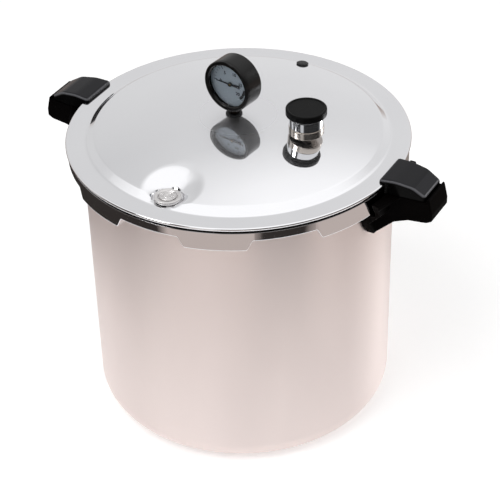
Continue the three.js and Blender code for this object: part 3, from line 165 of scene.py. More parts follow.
def on_circle(tree: Tree, radius: Socket, turn: Socket, height: Socket | None = None) -> Socket:
    """The place at a radius and a turn round the upright axis, and at a height."""
    across = product(tree, radius, node_math(tree, "COSINE", turn))
    along = product(tree, radius, node_math(tree, "SINE", turn))
    links = {0: across, 1: along} | ({2: height} if height else {})
    return add_node(tree, "ShaderNodeCombineXYZ", links=links).outputs[0]


def even_step(tree: Tree, value: Socket, start: float, end: float, kind: str = "LINEAR") -> Socket:
    """Goes evenly from 0 at the start to 1 at the end, or as the kind says."""
    settings = {"interpolation_type": kind, "From Min": start, "From Max": end}
    return add_node(tree, "ShaderNodeMapRange", settings, {"Value": value}).outputs[0]


def smooth_step(tree: Tree, value: Socket, start: float, end: float) -> Socket:
    """Goes smoothly from 0 at the start to 1 at the end."""
    return even_step(tree, value, start, end, "SMOOTHSTEP")


def mix_shaders(tree: Tree, share: Socket, first: Socket, second: Socket) -> Socket:
    """Blends two shaders by the second one's share."""
    return add_node(tree, "ShaderNodeMixShader", links={0: share, 1: first, 2: second}).outputs[0]


def flat_length(tree: Tree, place: Socket) -> Socket:
    """How far a place lies from the upright axis."""
    flat = add_node(tree, "ShaderNodeVectorMath", {"operation": "MULTIPLY", 1: (1, 1, 0)}, {0: place})
    length = add_node(tree, "ShaderNodeVectorMath", {"operation": "LENGTH"}, {0: flat.outputs[0]})
    return length.outputs["Value"]


def tree_inputs(tree: Tree, kinds: dict[str, str]) -> dict[str, Socket]:
    """Gives a geometry node tree its named inputs and its one output.

    Args:
        tree: The tree.
        kinds: Each input's name and the last part of its socket type.

    Returns:
        The inputs' sockets, by name.
    """
    for name, kind in kinds.items():
        tree.interface.new_socket(name, in_out="INPUT", socket_type=f"NodeSocket{kind}")
    tree.interface.new_socket("Piece", in_out="OUTPUT", socket_type="NodeSocketGeometry")
    given = add_node(tree, "NodeGroupInput").outputs
    return {name: given[name] for name in kinds}


def tree_output(tree: Tree, geometry: Socket, material: Socket) -> None:
    """Makes a tree's instances real, gives them the material and puts them out."""
    real = add_node(tree, "GeometryNodeRealizeInstances", links={0: geometry}).outputs[0]
    painted = add_node(tree, "GeometryNodeSetMaterial", links={"Geometry": real, "Material": material})
    add_node(tree, "NodeGroupOutput", links={0: painted.outputs[0]})


@dataclass(frozen=True)
class Finish:
    """What a surface is made of and how it was made.

    The colour wanders between two near values, and the roughness with it, as it does on anything
    that was made and handled.
    """

    name: str
    slot: str
    colour: str
    shade: str
    roughness: float
    metallic: float = 0.0
    ior: float = 1.5
    specular: float = 0.5
    blotch_mm: float = 12.0
    grain_mm: float = 0.6
    grain_stretch: Corner = (1.0, 1.0, 1.0)
    grain_depth_mm: float = 0.01
    roughness_swing: float = 0.04

    def noise(
        self,
        tree: Tree,
        place: Socket,
        size_mm: float,
        stretch: Corner = (1.0, 1.0, 1.0),
        detail: float = 3.0,
    ) -> Socket:
        """A cloudy pattern whose features are about the size given.

        Args:
            tree: The material's tree.
            place: The coordinates that the pattern reads.
            size_mm: Size of a feature.
            stretch: How much longer than that a feature is along X, Y and Z.
            detail: How many finer layers lie on it.

        Returns:
            The pattern, around one half.
        """
        scale = [1 / (size_mm * MM * s) for s in stretch]
        mapping = add_node(tree, "ShaderNodeMapping", {"Scale": scale}, {"Vector": place})
        cloud = add_node(
            tree, "ShaderNodeTexNoise", {"Scale": 1.0, "Detail": detail}, {"Vector": mapping.outputs[0]}
        )
        return cloud.outputs[0]

    def pattern(self, tree: Tree, place: Socket, shader: bpy.types.Node) -> None:
        """Adds the colour, roughness and relief to the shader.

        Args:
            tree: The material's tree.
            place: Object coordinates.
            shader: The Principled shader.
        """
        blotch = self.noise(tree, place, self.blotch_mm)
        self.wander(tree, blotch, shader)
        grain = self.noise(tree, place, self.grain_mm, self.grain_stretch)
        self.relief(tree, grain, shader)

    def wander(self, tree: Tree, cloud: Socket, shader: bpy.types.Node) -> None:
        """Lets colour and roughness follow a cloudy pattern."""
        colour = add_node(
            tree,
            "ShaderNodeMix",
            {"data_type": "RGBA", 6: linear(self.shade), 7: linear(self.colour)},
            {0: cloud},
        )
        tree.links.new(colour.outputs[2], shader.inputs["Base Color"])
        swing = self.roughness_swing
        rough = add_node(
            tree,
            "ShaderNodeMapRange",
            {
                "From Min": 0.3,
                "From Max": 0.7,
                "To Min": max(0.0, self.roughness - swing),
                "To Max": self.roughness + swing,
            },
            {"Value": cloud},
        )
        tree.links.new(rough.outputs[0], shader.inputs["Roughness"])

    def relief(self, tree: Tree, height: Socket, shader: bpy.types.Node) -> None:
        """Raises the surface by a pattern."""
        bump = add_node(
            tree,
            "ShaderNodeBump",
            {"Strength": 1.0, "Distance": self.grain_depth_mm * MM},
            {"Height": height},
        )
        tree.links.new(bump.outputs[0], shader.inputs["Normal"])

    def material(self) -> bpy.types.Material:
        """The Blender material, made once."""
        made = bpy.data.materials.get(self.name)
        if made:
            return made
        made = bpy.data.materials.new(self.name)
        made.use_nodes = True
        made.diffuse_color = linear(self.colour)
        tree = made.node_tree
        tree.nodes.clear()
        place = add_node(tree, "ShaderNodeTexCoord").outputs["Object"]
        add_node(tree, "ShaderNodeOutputMaterial", links={"Surface": self.surface(tree, place)})
        return made

    def surface(self, tree: Tree, place: Socket) -> Socket:
        """The shader that the material puts out.

        Args:
            tree: The material's tree.
            place: Object coordinates.

        Returns:
            The shader's socket.
        """
        shader = add_node(
            tree,
            "ShaderNodeBsdfPrincipled",
            {"Metallic": self.metallic, "IOR": self.ior, "Specular IOR Level": self.specular},
        )
        self.pattern(tree, place, shader)
        return shader.outputs[0]


@dataclass(frozen=True)
class TurnedMetal(Finish):
    """Metal cut or brushed round an upright axis: fine rings, so highlights stretch across them."""

    ring_mm: float = 0.5
    anisotropy: float = 0.5
    stretch_turn: float = 0.0

    def pattern(self, tree: Tree, place: Socket, shader: bpy.types.Node) -> None:
        """Adds rings that follow the height, and the stretched highlights."""
        rings = self.noise(tree, place, self.ring_mm, (200.0, 200.0, 1.0))
        cloud = self.noise(tree, place, self.blotch_mm, (1.0, 1.0, 4.0))
        self.wander(tree, cloud, shader)
        self.relief(tree, rings, shader)
        shader.inputs["Anisotropic"].default_value = self.anisotropy
        shader.inputs["Anisotropic Rotation"].default_value = self.stretch_turn
        tangent = add_node(tree, "ShaderNodeTangent", {"direction_type": "RADIAL", "axis": "Z"})
        tree.links.new(tangent.outputs[0], shader.inputs["Tangent"])


@dataclass(frozen=True)
class BuffedMetal(Finish):
    """Metal polished on a wheel: a mirror under the haze of countless fine scratches.

    The haze thins out from the dome's middle, and the groove under the bead is painted black as painted
    shade.
    """

    haze: float = 0.28
    haze_roughness: float = 0.5
    haze_reach_mm: float = 72.0
    haze_edge_mm: float = 50.0
    haze_left: float = 0.15
    dome_edge_mm: Span = (155.0, 152.0)
    groove_mm: Span = (302.4, 305.4)
    groove_edge_mm: Span = (168.0, 170.5)
    groove_blur_mm: float = 0.25
    # Colour of the painted shade in the groove under the bead.
    paste: str = "0c0a09"

    def surface(self, tree: Tree, place: Socket) -> Socket:
        """Lays the scratches' wide gleam and the painted shade in the groove over the mirror."""
        mirror = super().surface(tree, place)
        scratches = add_node(
            tree,
            "ShaderNodeBsdfPrincipled",
            {"Metallic": 1.0, "Roughness": self.haze_roughness, "Base Color": linear(self.shade)},
        ).outputs[0]
        reach = flat_length(tree, place)
        edge, half = self.haze_reach_mm * MM, self.haze_edge_mm * MM
        overlay = smooth_step(tree, reach, edge - half, edge + half)
        share = node_math(tree, "ADD", product(tree, overlay, self.haze_left - 1), 1.0)
        on_top = smooth_step(tree, reach, *(limit * MM for limit in self.dome_edge_mm))
        amount = product(tree, share, on_top, self.haze)
        hazed = mix_shaders(tree, amount, mirror, scratches)
        # Painted shade: a black band in the groove under the bead, where shade falls.
        height = add_node(tree, "ShaderNodeSeparateXYZ", links={0: place}).outputs[2]
        low, high = (level * MM for level in self.groove_mm)
        soft = self.groove_blur_mm * MM
        above = smooth_step(tree, height, low - soft, low + soft)
        below = smooth_step(tree, height, high + soft, high - soft)
        outside = smooth_step(tree, reach, *(limit * MM for limit in self.groove_edge_mm))
        groove_shade_mask = product(tree, above, below, outside)
        dull = {"Base Color": linear(self.paste), "Roughness": 0.5, "Specular IOR Level": 0.2}
        black = add_node(tree, "ShaderNodeBsdfPrincipled", dull).outputs[0]
        return mix_shaders(tree, groove_shade_mask, hazed, black)


@dataclass(frozen=True)
class WornMoulding(Finish):
    """Black moulding with painted light: faces that look up get a paler painted sheen, and its rounded edges
    get a grey painted highlight.
    """

    # top is a painted sheen on faces that look up; edge is a painted highlight on the rounded edges.
    top: str = "28282a"
    edge: str = "58585b"
    top_slope: Span = (0.55, 0.85)
    edge_rise: Span = (0.15, 0.6)
    edge_fall: Span = (0.9, 0.7)

    def wander(self, tree: Tree, cloud: Socket, shader: bpy.types.Node) -> None:
        """Adds the painted sheen on top and the painted highlight along the rounded edges, both following
        how far a face looks up.
        """
        super().wander(tree, cloud, shader)
        colour = shader.inputs["Base Color"].links[0].from_socket
        normal = add_node(tree, "ShaderNodeNewGeometry").outputs["Normal"]
        upward = add_node(tree, "ShaderNodeSeparateXYZ", links={0: normal}).outputs[2]
        rising, falling = (smooth_step(tree, upward, *span) for span in (self.edge_rise, self.edge_fall))
        rim = product(tree, rising, falling)
        # Paints the sheen on upward faces and the highlight on the rounded edges into the base colour.
        for share, overlay in ((smooth_step(tree, upward, *self.top_slope), self.top), (rim, self.edge)):
            colour = add_node(
                tree, "ShaderNodeMix", {"data_type": "RGBA", 7: linear(overlay)}, {0: share, 6: colour}
            ).outputs[2]
        tree.links.new(colour, shader.inputs["Base Color"])


@dataclass(frozen=True)
class ClearAcrylic(Finish):
    """Clear moulded acrylic: it lets light through and mirrors a little at a glance."""

    def pattern(self, tree: Tree, place: Socket, shader: bpy.types.Node) -> None:
        """Adds the faint smudges that show where it was wiped."""
        super().pattern(tree, place, shader)
        shader.inputs["Transmission Weight"].default_value = 1.0


# Deep-drawn aluminium, satin brushed: warm grey, blurred upright streaks of light.
DRAWN_ALUMINIUM = TurnedMetal(
    "satin_drawn_aluminium", "satin_aluminium", "f3e7e4", "eaddd9", 0.42, metallic=1.0,
    blotch_mm=60.0, ring_mm=0.9, grain_depth_mm=0.012, anisotropy=0.8, stretch_turn=0.25,
)
# Buffed aluminium: a mirror under a haze of fine scratches, slightly wavy where it was pressed.
BUFFED_ALUMINIUM = BuffedMetal(
    "buffed_aluminium", "polished_aluminium", "eeeef0", "e8e8eb", 0.05, metallic=1.0,
    blotch_mm=80.0, grain_mm=40.0, grain_depth_mm=0.02, roughness_swing=0.015,
)
# Turned aluminium of the air vent's collar: pale and soft.
TURNED_ALUMINIUM = Finish(
    "turned_aluminium", "polished_aluminium", "e6e4e4", "d0cdcc", 0.45, metallic=1.0,
    blotch_mm=4.0, grain_mm=0.5, grain_depth_mm=0.01,
)
# Bright chrome plate over brass: the sharpest mirror on the piece.
CHROME_PLATE = Finish(
    "bright_chrome_plate", "chrome", "dfe0e2", "d6d7d9", 0.04, metallic=1.0,
    blotch_mm=8.0, grain_mm=4.0, grain_depth_mm=0.003, roughness_swing=0.01,
)
# Turned stainless steel: fine tool rings, soft stretched highlights.
TURNED_STEEL = TurnedMetal(
    "turned_stainless_steel", "chrome", "cdc6be", "bdb5ad", 0.2, metallic=1.0,
    blotch_mm=6.0, ring_mm=0.35, grain_depth_mm=0.01, anisotropy=0.4,
)
# Zinc-plated steel sheet and screws: dull grey, uneven.
PLATED_STEEL = Finish(
    "zinc_plated_steel", "steel", "b9b9b6", "a4a4a1", 0.38, metallic=1.0,
    blotch_mm=5.0, grain_mm=0.8, grain_depth_mm=0.01,
)
# Stamped brass of the gauge: yellow, dulled by handling.
STAMPED_BRASS = Finish(
    "stamped_brass", "brass", "c09c52", "9c7c3e", 0.32, metallic=1.0,
    blotch_mm=4.0, grain_mm=0.4, grain_depth_mm=0.005,
)
# Compression-moulded phenolic: near-black, satin where it was tumbled, a fine pebble in the light, with a
# painted sheen on its top and a painted highlight along its rounded edges.
MOULDED_PHENOLIC = WornMoulding(
    "moulded_phenolic", "black_phenolic", "060606", "040404", 0.22, ior=1.6, specular=0.04,
    blotch_mm=9.0, grain_mm=0.7, grain_depth_mm=0.012, roughness_swing=0.04,
)
# The same moulding on the regulator's cap, worn a little duller.
CAP_PHENOLIC = Finish(
    "cap_moulded_phenolic", "black_phenolic", "0b0b0c", "070707", 0.32, ior=1.6, specular=0.055,
    blotch_mm=6.0, grain_mm=0.6, grain_depth_mm=0.012, roughness_swing=0.05,
)
# The same moulding material left as it came from the mould: dead black, with a trace of brown.
DULL_PHENOLIC = Finish(
    "dull_moulded_phenolic", "black_phenolic", "040303", "030202", 0.5, ior=1.6, specular=0.012,
    blotch_mm=9.0, grain_mm=0.8, grain_depth_mm=0.015, roughness_swing=0.05,
)
# Nitrile rubber: matt black with a faint grey bloom.
NITRILE_RUBBER = Finish(
    "nitrile_rubber", "black_rubber", "1f1f20", "161617", 0.6, ior=1.52,
    blotch_mm=4.0, grain_mm=0.5, grain_depth_mm=0.015,
)
# Stove enamel on the gauge's case: black, half gloss, with a trace of orange peel.
CASE_ENAMEL = Finish(
    "black_stove_enamel", "black_enamel", "090808", "060505", 0.2, ior=1.5, specular=0.26,
    blotch_mm=10.0, grain_mm=1.2, grain_depth_mm=0.008,
)
# Brass blackened in a bath: dark brown, half matt.
BLACKENED_BRASS = Finish(
    "blackened_brass", "brass", "231d1a", "171310", 0.35, metallic=1.0,
    blotch_mm=4.0, grain_mm=0.4, grain_depth_mm=0.005,
)
# Matt silvered dial with a blue cast from the printing ink.
DIAL_PRINT = Finish(
    "printed_dial_face", "dial_paint", "a8b3bd", "9ca7b2", 0.55, ior=1.5,
    blotch_mm=7.0, grain_mm=0.3, grain_depth_mm=0.004,
)
# Printed black ink: dense and matt.
DIAL_INK = Finish(
    "black_dial_ink", "dial_paint", "1d2126", "16191d", 0.5, ior=1.5,
    blotch_mm=3.0, grain_mm=0.3, grain_depth_mm=0.002,
)
CLEAR_LENS = ClearAcrylic(
    "clear_acrylic_lens", "lens_glass", "ffffff", "fafcfd", 0.02, ior=1.49,
    blotch_mm=10.0, grain_mm=8.0, grain_depth_mm=0.002, roughness_swing=0.01,
)


# ------------------------------------------------------------------------------ meshes
def rounded(corners: Iterable[Corner], steps: int = 5, closed: bool = False) -> list[Point]:
    """Rounds the corners of an outline.

    Args:
        corners: Each corner's two places and its radius, in millimetres.
        steps: Facets in each rounded corner.
        closed: Whether the last corner joins the first.

    Returns:
        The outline's points.
    """
    corners = list(corners)
    points: list[Point] = []
    for i, (x, y, radius) in enumerate(corners):
        ends = not closed and i in (0, len(corners) - 1)
        if radius <= 0 or ends:
            points.append((x, y))
            continue
        here = Vector((x, y))
        before = (Vector(corners[i - 1][:2]) - here).normalized()
        after = (Vector(corners[(i + 1) % len(corners)][:2]) - here).normalized()
        half = before.angle(after) / 2
        start, end = here + before * radius / math.tan(half), here + after * radius / math.tan(half)
        centre = here + (before + after).normalized() * radius / math.sin(half)
        a, b = start - centre, end - centre
        sweep = a.angle_signed(b)
        for k in range(steps + 1):
            arm = Matrix.Rotation(-sweep * k / steps, 2) @ a
            points.append(tuple(centre + arm))
    return points


def mesh_object(name: str, mesh: bpy.types.Mesh) -> Piece:
    """Puts a mesh into the scene as an object at the origin."""
    made = bpy.data.objects.new(name, mesh)
    bpy.context.scene.collection.objects.link(made)
    return made


def closed_mesh(
    name: str, build: Callable[[bmesh.types.BMesh], None], place: Matrix | None = None
) -> Piece:
    """Makes an object from a builder, with doubles merged and faces pointing out.

    Args:
        name: The piece's name.
        build: Fills a bmesh, in millimetres.
        place: Where the piece stands, in millimetres.

    Returns:
        The object, at the origin, in metres.
    """
    shape = bmesh.new()
    build(shape)
    bmesh.ops.remove_doubles(shape, verts=shape.verts, dist=1e-4)
    bmesh.ops.dissolve_degenerate(shape, edges=shape.edges, dist=1e-5)
    bmesh.ops.recalc_face_normals(shape, faces=shape.faces)
    shape.transform(Matrix.Scale(MM, 4) @ (place or Matrix.Identity(4)))
    mesh = bpy.data.meshes.new(name)
    shape.to_mesh(mesh)
    shape.free()
    return mesh_object(name, mesh)


def settle(piece: Piece) -> Piece:
    """Turns a piece with its modifiers into a plain mesh."""
    graph = bpy.context.evaluated_depsgraph_get()
    mesh = bpy.data.meshes.new_from_object(piece.evaluated_get(graph), depsgraph=graph)
    piece.modifiers.clear()
    old, piece.data = piece.data, mesh
    bpy.data.meshes.remove(old)
    return piece


def run_tree(piece: Piece, tree: Tree, given: dict) -> Piece:
    """Runs a geometry node tree on a piece and leaves it a plain mesh.

    Args:
        piece: The piece.
        tree: The tree.
        given: Values of its inputs, by name.

    Returns:
        The piece.
    """
    run = piece.modifiers.new(tree.name, "NODES")
    run.node_group = tree
    sockets = {s.name: s.identifier for s in tree.interface.items_tree if s.in_out == "INPUT"}
    for name, value in given.items():
        run[sockets[name]] = value
    return settle(piece)


def soften(piece: Piece, angle: float = 35.0, beyond: float = 0.0) -> None:
    """Shades a piece smooth, with sharp edges kept and large faces left flat.

    Args:
        piece: The piece.
        angle: Degrees between faces, past which an edge stays sharp.
        beyond: Distance from the canner's axis in millimetres, past which large faces are left flat.
    """
    piece.data.shade_smooth()
    piece.data.set_sharp_from_angle(angle=math.radians(angle))
    flat = piece.vertex_groups.new(name="flat_faces")
    flat.add([v.index for v in piece.data.vertices if v.co.xy.length >= beyond * MM], 1.0, "REPLACE")
    weighted = piece.modifiers.new("flat_faces", "WEIGHTED_NORMAL")
    weighted.keep_sharp, weighted.weight, weighted.vertex_group = True, 80, flat.name
    settle(piece)
    piece.vertex_groups.clear()


def carve(piece: Piece, cutters: Sequence[Piece], operation: str = "DIFFERENCE") -> Piece:
    """Cuts other shapes out of a piece, or joins them to it, and removes them.

    Args:
        piece: The piece.
        cutters: The shapes.
        operation: DIFFERENCE, UNION or INTERSECT.

    Returns:
        The piece, as a plain mesh.
    """
    for cutter in cutters:
        cut = piece.modifiers.new(cutter.name, "BOOLEAN")
        cut.object, cut.operation, cut.solver = cutter, operation, "EXACT"
    settle(piece)
    for cutter in cutters:
        bpy.data.objects.remove(cutter)
    return piece


def prism(
    name: str, outline: Sequence[Point], low: float, high: float, place: Matrix | None = None
) -> Piece:
    """A plate of an outline in X and Y, from one height to another.

    Args:
        name: The piece's name.
        outline: Its points, in millimetres.
        low: Height of its underside.
        high: Height of its top.
        place: Where it stands, in millimetres.

    Returns:
        The object.
    """

    def build(shape: bmesh.types.BMesh) -> None:
        bottom = [shape.verts.new((x, y, low)) for x, y in outline]
        top = [shape.verts.new((x, y, high)) for x, y in outline]
        shape.faces.new(bottom)
        shape.faces.new(top)
        for i in range(len(outline)):
            j = (i + 1) % len(outline)
            shape.faces.new((bottom[i], bottom[j], top[j], top[i]))

    return closed_mesh(name, build, place)


def side_bar(name: str, outline: Sequence[Point], width: float, place: Matrix | None = None) -> Piece:
    """A bar whose outline lies in X and Z, as wide along Y as given."""
    upright = Matrix.Rotation(math.radians(90), 4, "X")
    return prism(name, outline, -width / 2, width / 2, (place or Matrix.Identity(4)) @ upright)


def swept(name: str, sections: np.ndarray) -> Piece:
    """A closed skin through sections that go once round the axis.

    Args:
        name: The piece's name.
        sections: Places by section, point and coordinate, in millimetres. Each section starts and
            ends on the axis, or on its own first point.

    Returns:
        The object.
    """

    def build(shape: bmesh.types.BMesh) -> None:
        rows = [[shape.verts.new(p) for p in section] for section in sections]
        for row, following in zip(rows, rows[1:] + rows[:1]):
            for k in range(len(row) - 1):
                shape.faces.new((row[k], following[k], following[k + 1], row[k + 1]))

    return closed_mesh(name, build)


@dataclass
class Lathe:
    """Turns outlines round an axis with one shared geometry node tree."""

    tree: Tree = field(init=False)

    def __post_init__(self) -> None:
        """Builds the tree: a grid whose rows are the outline's points and whose columns are turns."""
        tree = self.tree = bpy.data.node_groups.new("turned_piece", "GeometryNodeTree")
        given = tree_inputs(tree, {"Outline": "Geometry", "Segments": "Int", "Material": "Material"})
        outline, segments = given["Outline"], given["Segments"]
        count = add_node(
            tree, "GeometryNodeAttributeDomainSize", {"component": "MESH"}, {0: outline}
        ).outputs["Point Count"]
        columns = node_math(tree, "ADD", segments, 1)
        grid = add_node(
            tree, "GeometryNodeMeshGrid", links={"Vertices X": columns, "Vertices Y": count}
        ).outputs[0]
        index = add_node(tree, "GeometryNodeInputIndex").outputs[0]
        column = node_math(tree, "FLOOR", node_math(tree, "DIVIDE", index, count))
        row = node_math(tree, "MODULO", index, count)
        point = add_node(
            tree,
            "GeometryNodeSampleIndex",
            {"data_type": "FLOAT_VECTOR", "domain": "POINT"},
            {
                "Geometry": outline,
                "Value": add_node(tree, "GeometryNodeInputPosition").outputs[0],
                "Index": row,
            },
        ).outputs[0]
        parts = add_node(tree, "ShaderNodeSeparateXYZ", links={0: point}).outputs
        turn = product(tree, node_math(tree, "DIVIDE", column, segments), 2 * math.pi)
        place = on_circle(tree, parts[0], turn, parts[2])
        turned = add_node(tree, "GeometryNodeSetPosition", links={"Geometry": grid, "Position": place})
        merged = add_node(
            tree, "GeometryNodeMergeByDistance", {"Distance": 1e-7}, {"Geometry": turned.outputs[0]}
        )
        tree_output(tree, merged.outputs[0], given["Material"])

    def turn(
        self,
        name: str,
        outline: Sequence[Point],
        finish: Finish,
        segments: int = 96,
        place: Matrix | None = None,
    ) -> Piece:
        """Turns an outline of radius and height round +Z.

        Args:
            name: The piece's name.
            outline: Its points in millimetres, both ends on the axis or on the same point.
            finish: What it is made of.
            segments: Facets round it.
            place: Where it stands, in millimetres.

        Returns:
            The object, at the origin, in metres.
        """
        profile = bpy.data.meshes.new(name)
        edges = [(i, i + 1) for i in range(len(outline) - 1)]
        profile.from_pydata([(r * MM, 0, z * MM) for r, z in outline], edges, [])
        piece = mesh_object(name, profile)
        run_tree(piece, self.tree, {"Segments": segments, "Material": finish.material()})
        shape = bmesh.new()
        shape.from_mesh(piece.data)
        bmesh.ops.remove_doubles(shape, verts=shape.verts, dist=1e-7)
        bmesh.ops.recalc_face_normals(shape, faces=shape.faces)
        if place is not None:
            scaled = place.copy()
            scaled.translation = place.translation * MM
            shape.transform(scaled)
        shape.to_mesh(piece.data)
        shape.free()
        soften(piece)
        return piece

    def fit(
        self,
        name: str,
        outline: Sequence[Point],
        finish: Finish,
        body: Body,
        replaces: Sequence[str],
        segments: int,
        place: Matrix | None = None,
    ) -> Piece:
        """Turns a piece, dresses it and fixes it to its body.

        Args:
            name: The piece's name.
            outline: Its points in millimetres, both ends on the axis or on the same point.
            finish: What it is made of.
            body: What it moves with.
            replaces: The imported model's nodes that it stands for.
            segments: Facets round it.
            place: Where it stands, in millimetres.

        Returns:
            The piece.
        """
        return install(self.turn(name, outline, finish, segments, place), body, finish, replaces)


def install(piece: Piece, body: Body, finish: Finish, replaces: Sequence[str] = ()) -> Piece:
    """Dresses a finished piece and fixes it to its body.

    Args:
        piece: The piece, at the origin.
        body: What it moves with.
        finish: What it is made of.
        replaces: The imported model's nodes that it stands for.

    Returns:
        The piece.
    """
    piece.data.materials.clear()
    piece.data.materials.append(finish.material())
    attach(piece, body.value)
    if replaces:
        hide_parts(*replaces)
    LOG.info("%s: %d faces on %s", piece.name, len(piece.data.polygons), body.value)
    return piece


# ------------------------------------------------------------------------------ bayonet
@dataclass
class Bayonet:
    """The ring of lugs and tabs that the body and the cover share."""

    count: int = 8
    first: float = -68.4
    pitch: float = field(init=False)

    def __post_init__(self) -> None:
        """Works out the angle between two lugs."""
        self.pitch = 360 / self.count

    def share(self, turn: float, width: float, step: float) -> float:
        """How much of a lug stands at a turn.

        Args:
            turn: Degrees from +X.
            width: Degrees of a whole lug, to the middle of its steps.
            step: Degrees of the step at each end.

        Returns:
            1 on a lug, 0 between lugs, and a smooth value on the steps.
        """
        off = abs((turn - self.first + self.pitch / 2) % self.pitch - self.pitch / 2)
        share = min(1.0, max(0.0, (width / 2 + step / 2 - off) / step))
        return share * share * (3 - 2 * share)

    def stations(self, width: float, step: float, coarse: float, dense: Iterable[float] = ()) -> list[float]:
        """Turns at which a lugged skin gets a section: even ones, and close ones on the steps.

        Args:
            width: Degrees of a whole lug.
            step: Degrees of the step at each end.
            coarse: Degrees between even sections.
            dense: Further turns.

        Returns:
            The turns in degrees, in order.
        """
        turns = {round(i * coarse, 4) for i in range(int(360 / coarse))}
        for lug in range(self.count):
            middle = self.first + lug * self.pitch
            for side in (-1, 1):
                edge = middle + side * width / 2
                turns |= {round((edge + step * (k / 10 - 0.6)) % 360, 4) for k in range(13)}
        turns |= {round(t % 360, 4) for t in dense}
        ordered = sorted(turns)
        return [t for t, after in zip(ordered, ordered[1:] + [361.0]) if after - t > 0.02]


def arc(centre: Point, radius: float, start: float, end: float, steps: int) -> list[Point]:
    """Points on an arc, from one turn in degrees to another."""
    turns = [math.radians(start + (end - start) * k / steps) for k in range(steps + 1)]
    return [(centre[0] + radius * math.cos(t), centre[1] + radius * math.sin(t)) for t in turns]


def circle(radius: float, steps: int, centre: Point = (0, 0)) -> list[Point]:
    """Points round a whole circle."""
    return arc(centre, radius, 0, 360, steps)[:-1]


@dataclass
class CannerBody:
    """The deep-drawn body with its flat base and the lugs rolled from its rim."""

    bayonet: Bayonet
    radius: float = 158.5
    draft: float = 1.0
    wall: float = 3.0
    floor: float = 3.5
    height: float = 298.0
    corner: float = 25.0
    lug_width: float = 20.0
    lug_step: float = 1.2
    lug_reach: float = 9.5
    lug_drop: float = 13.0
    lug_sheet: float = 2.6
    bead: float = 2.2

    def section(self, share: float) -> list[Point]:
        """The wall's outline where a share of a lug stands.

        Args:
            share: 1 on a lug and 0 between lugs.

        Returns:
            Points of radius and height, from the base's middle round to the floor's middle.
        """
        reach = self.bead + (self.lug_reach - self.bead) * share
        drop = self.lug_sheet + (self.lug_drop - self.lug_sheet) * share
        outer = self.radius + reach
        sheet = min(self.lug_sheet, reach)
        base = self.radius - self.draft - self.corner
        bore = self.radius - self.wall
        inner_corner = self.corner - self.wall
        top = self.height
        fold = top - self.lug_sheet
        steps = [i / 8 for i in range(9)]
        points = [(base * i / 6, 0.0) for i in range(6)]
        points += arc((base, self.corner), self.corner, -90, 0, 14)
        rise, sink = fold - 1 - self.corner, top - 1.5 - self.floor - inner_corner
        points += [(self.radius - self.draft * (1 - s), self.corner + rise * s) for s in steps[1:]]
        points += [(self.radius + 0.3, fold - 0.3), (outer - sheet, fold - 0.0001)]
        points += [(outer - sheet, top - drop + 0.6), (outer - sheet + 0.6, top - drop)]
        points += [(outer - 0.6, top - drop), (outer, top - drop + 0.6)]
        points += arc((outer - 1.6, top - 1.6), 1.6, 0, 90, 5)
        points += arc((bore + 1.5, top - 1.5), 1.5, 90, 180, 5)
        points += [(bore - self.draft * s, top - 1.5 - sink * s) for s in steps[1:]]
        points += arc((base, self.floor + inner_corner), inner_corner, 0, -90, 10)[1:]
        points += [(base * (1 - i / 6), self.floor) for i in range(1, 7)]
        return points

    def build(self) -> None:
        """Builds the body."""
        turns = self.bayonet.stations(self.lug_width, self.lug_step, 1.5)
        sections = []
        for turn in turns:
            share = self.bayonet.share(turn, self.lug_width, self.lug_step)
            c, s = math.cos(math.radians(turn)), math.sin(math.radians(turn))
            sections.append([(r * c, r * s, z) for r, z in self.section(share)])
        piece = swept("drawn_body", np.array(sections))
        soften(piece, 50)
        install(piece, Body.POT, DRAWN_ALUMINIUM, ["canner_body"])


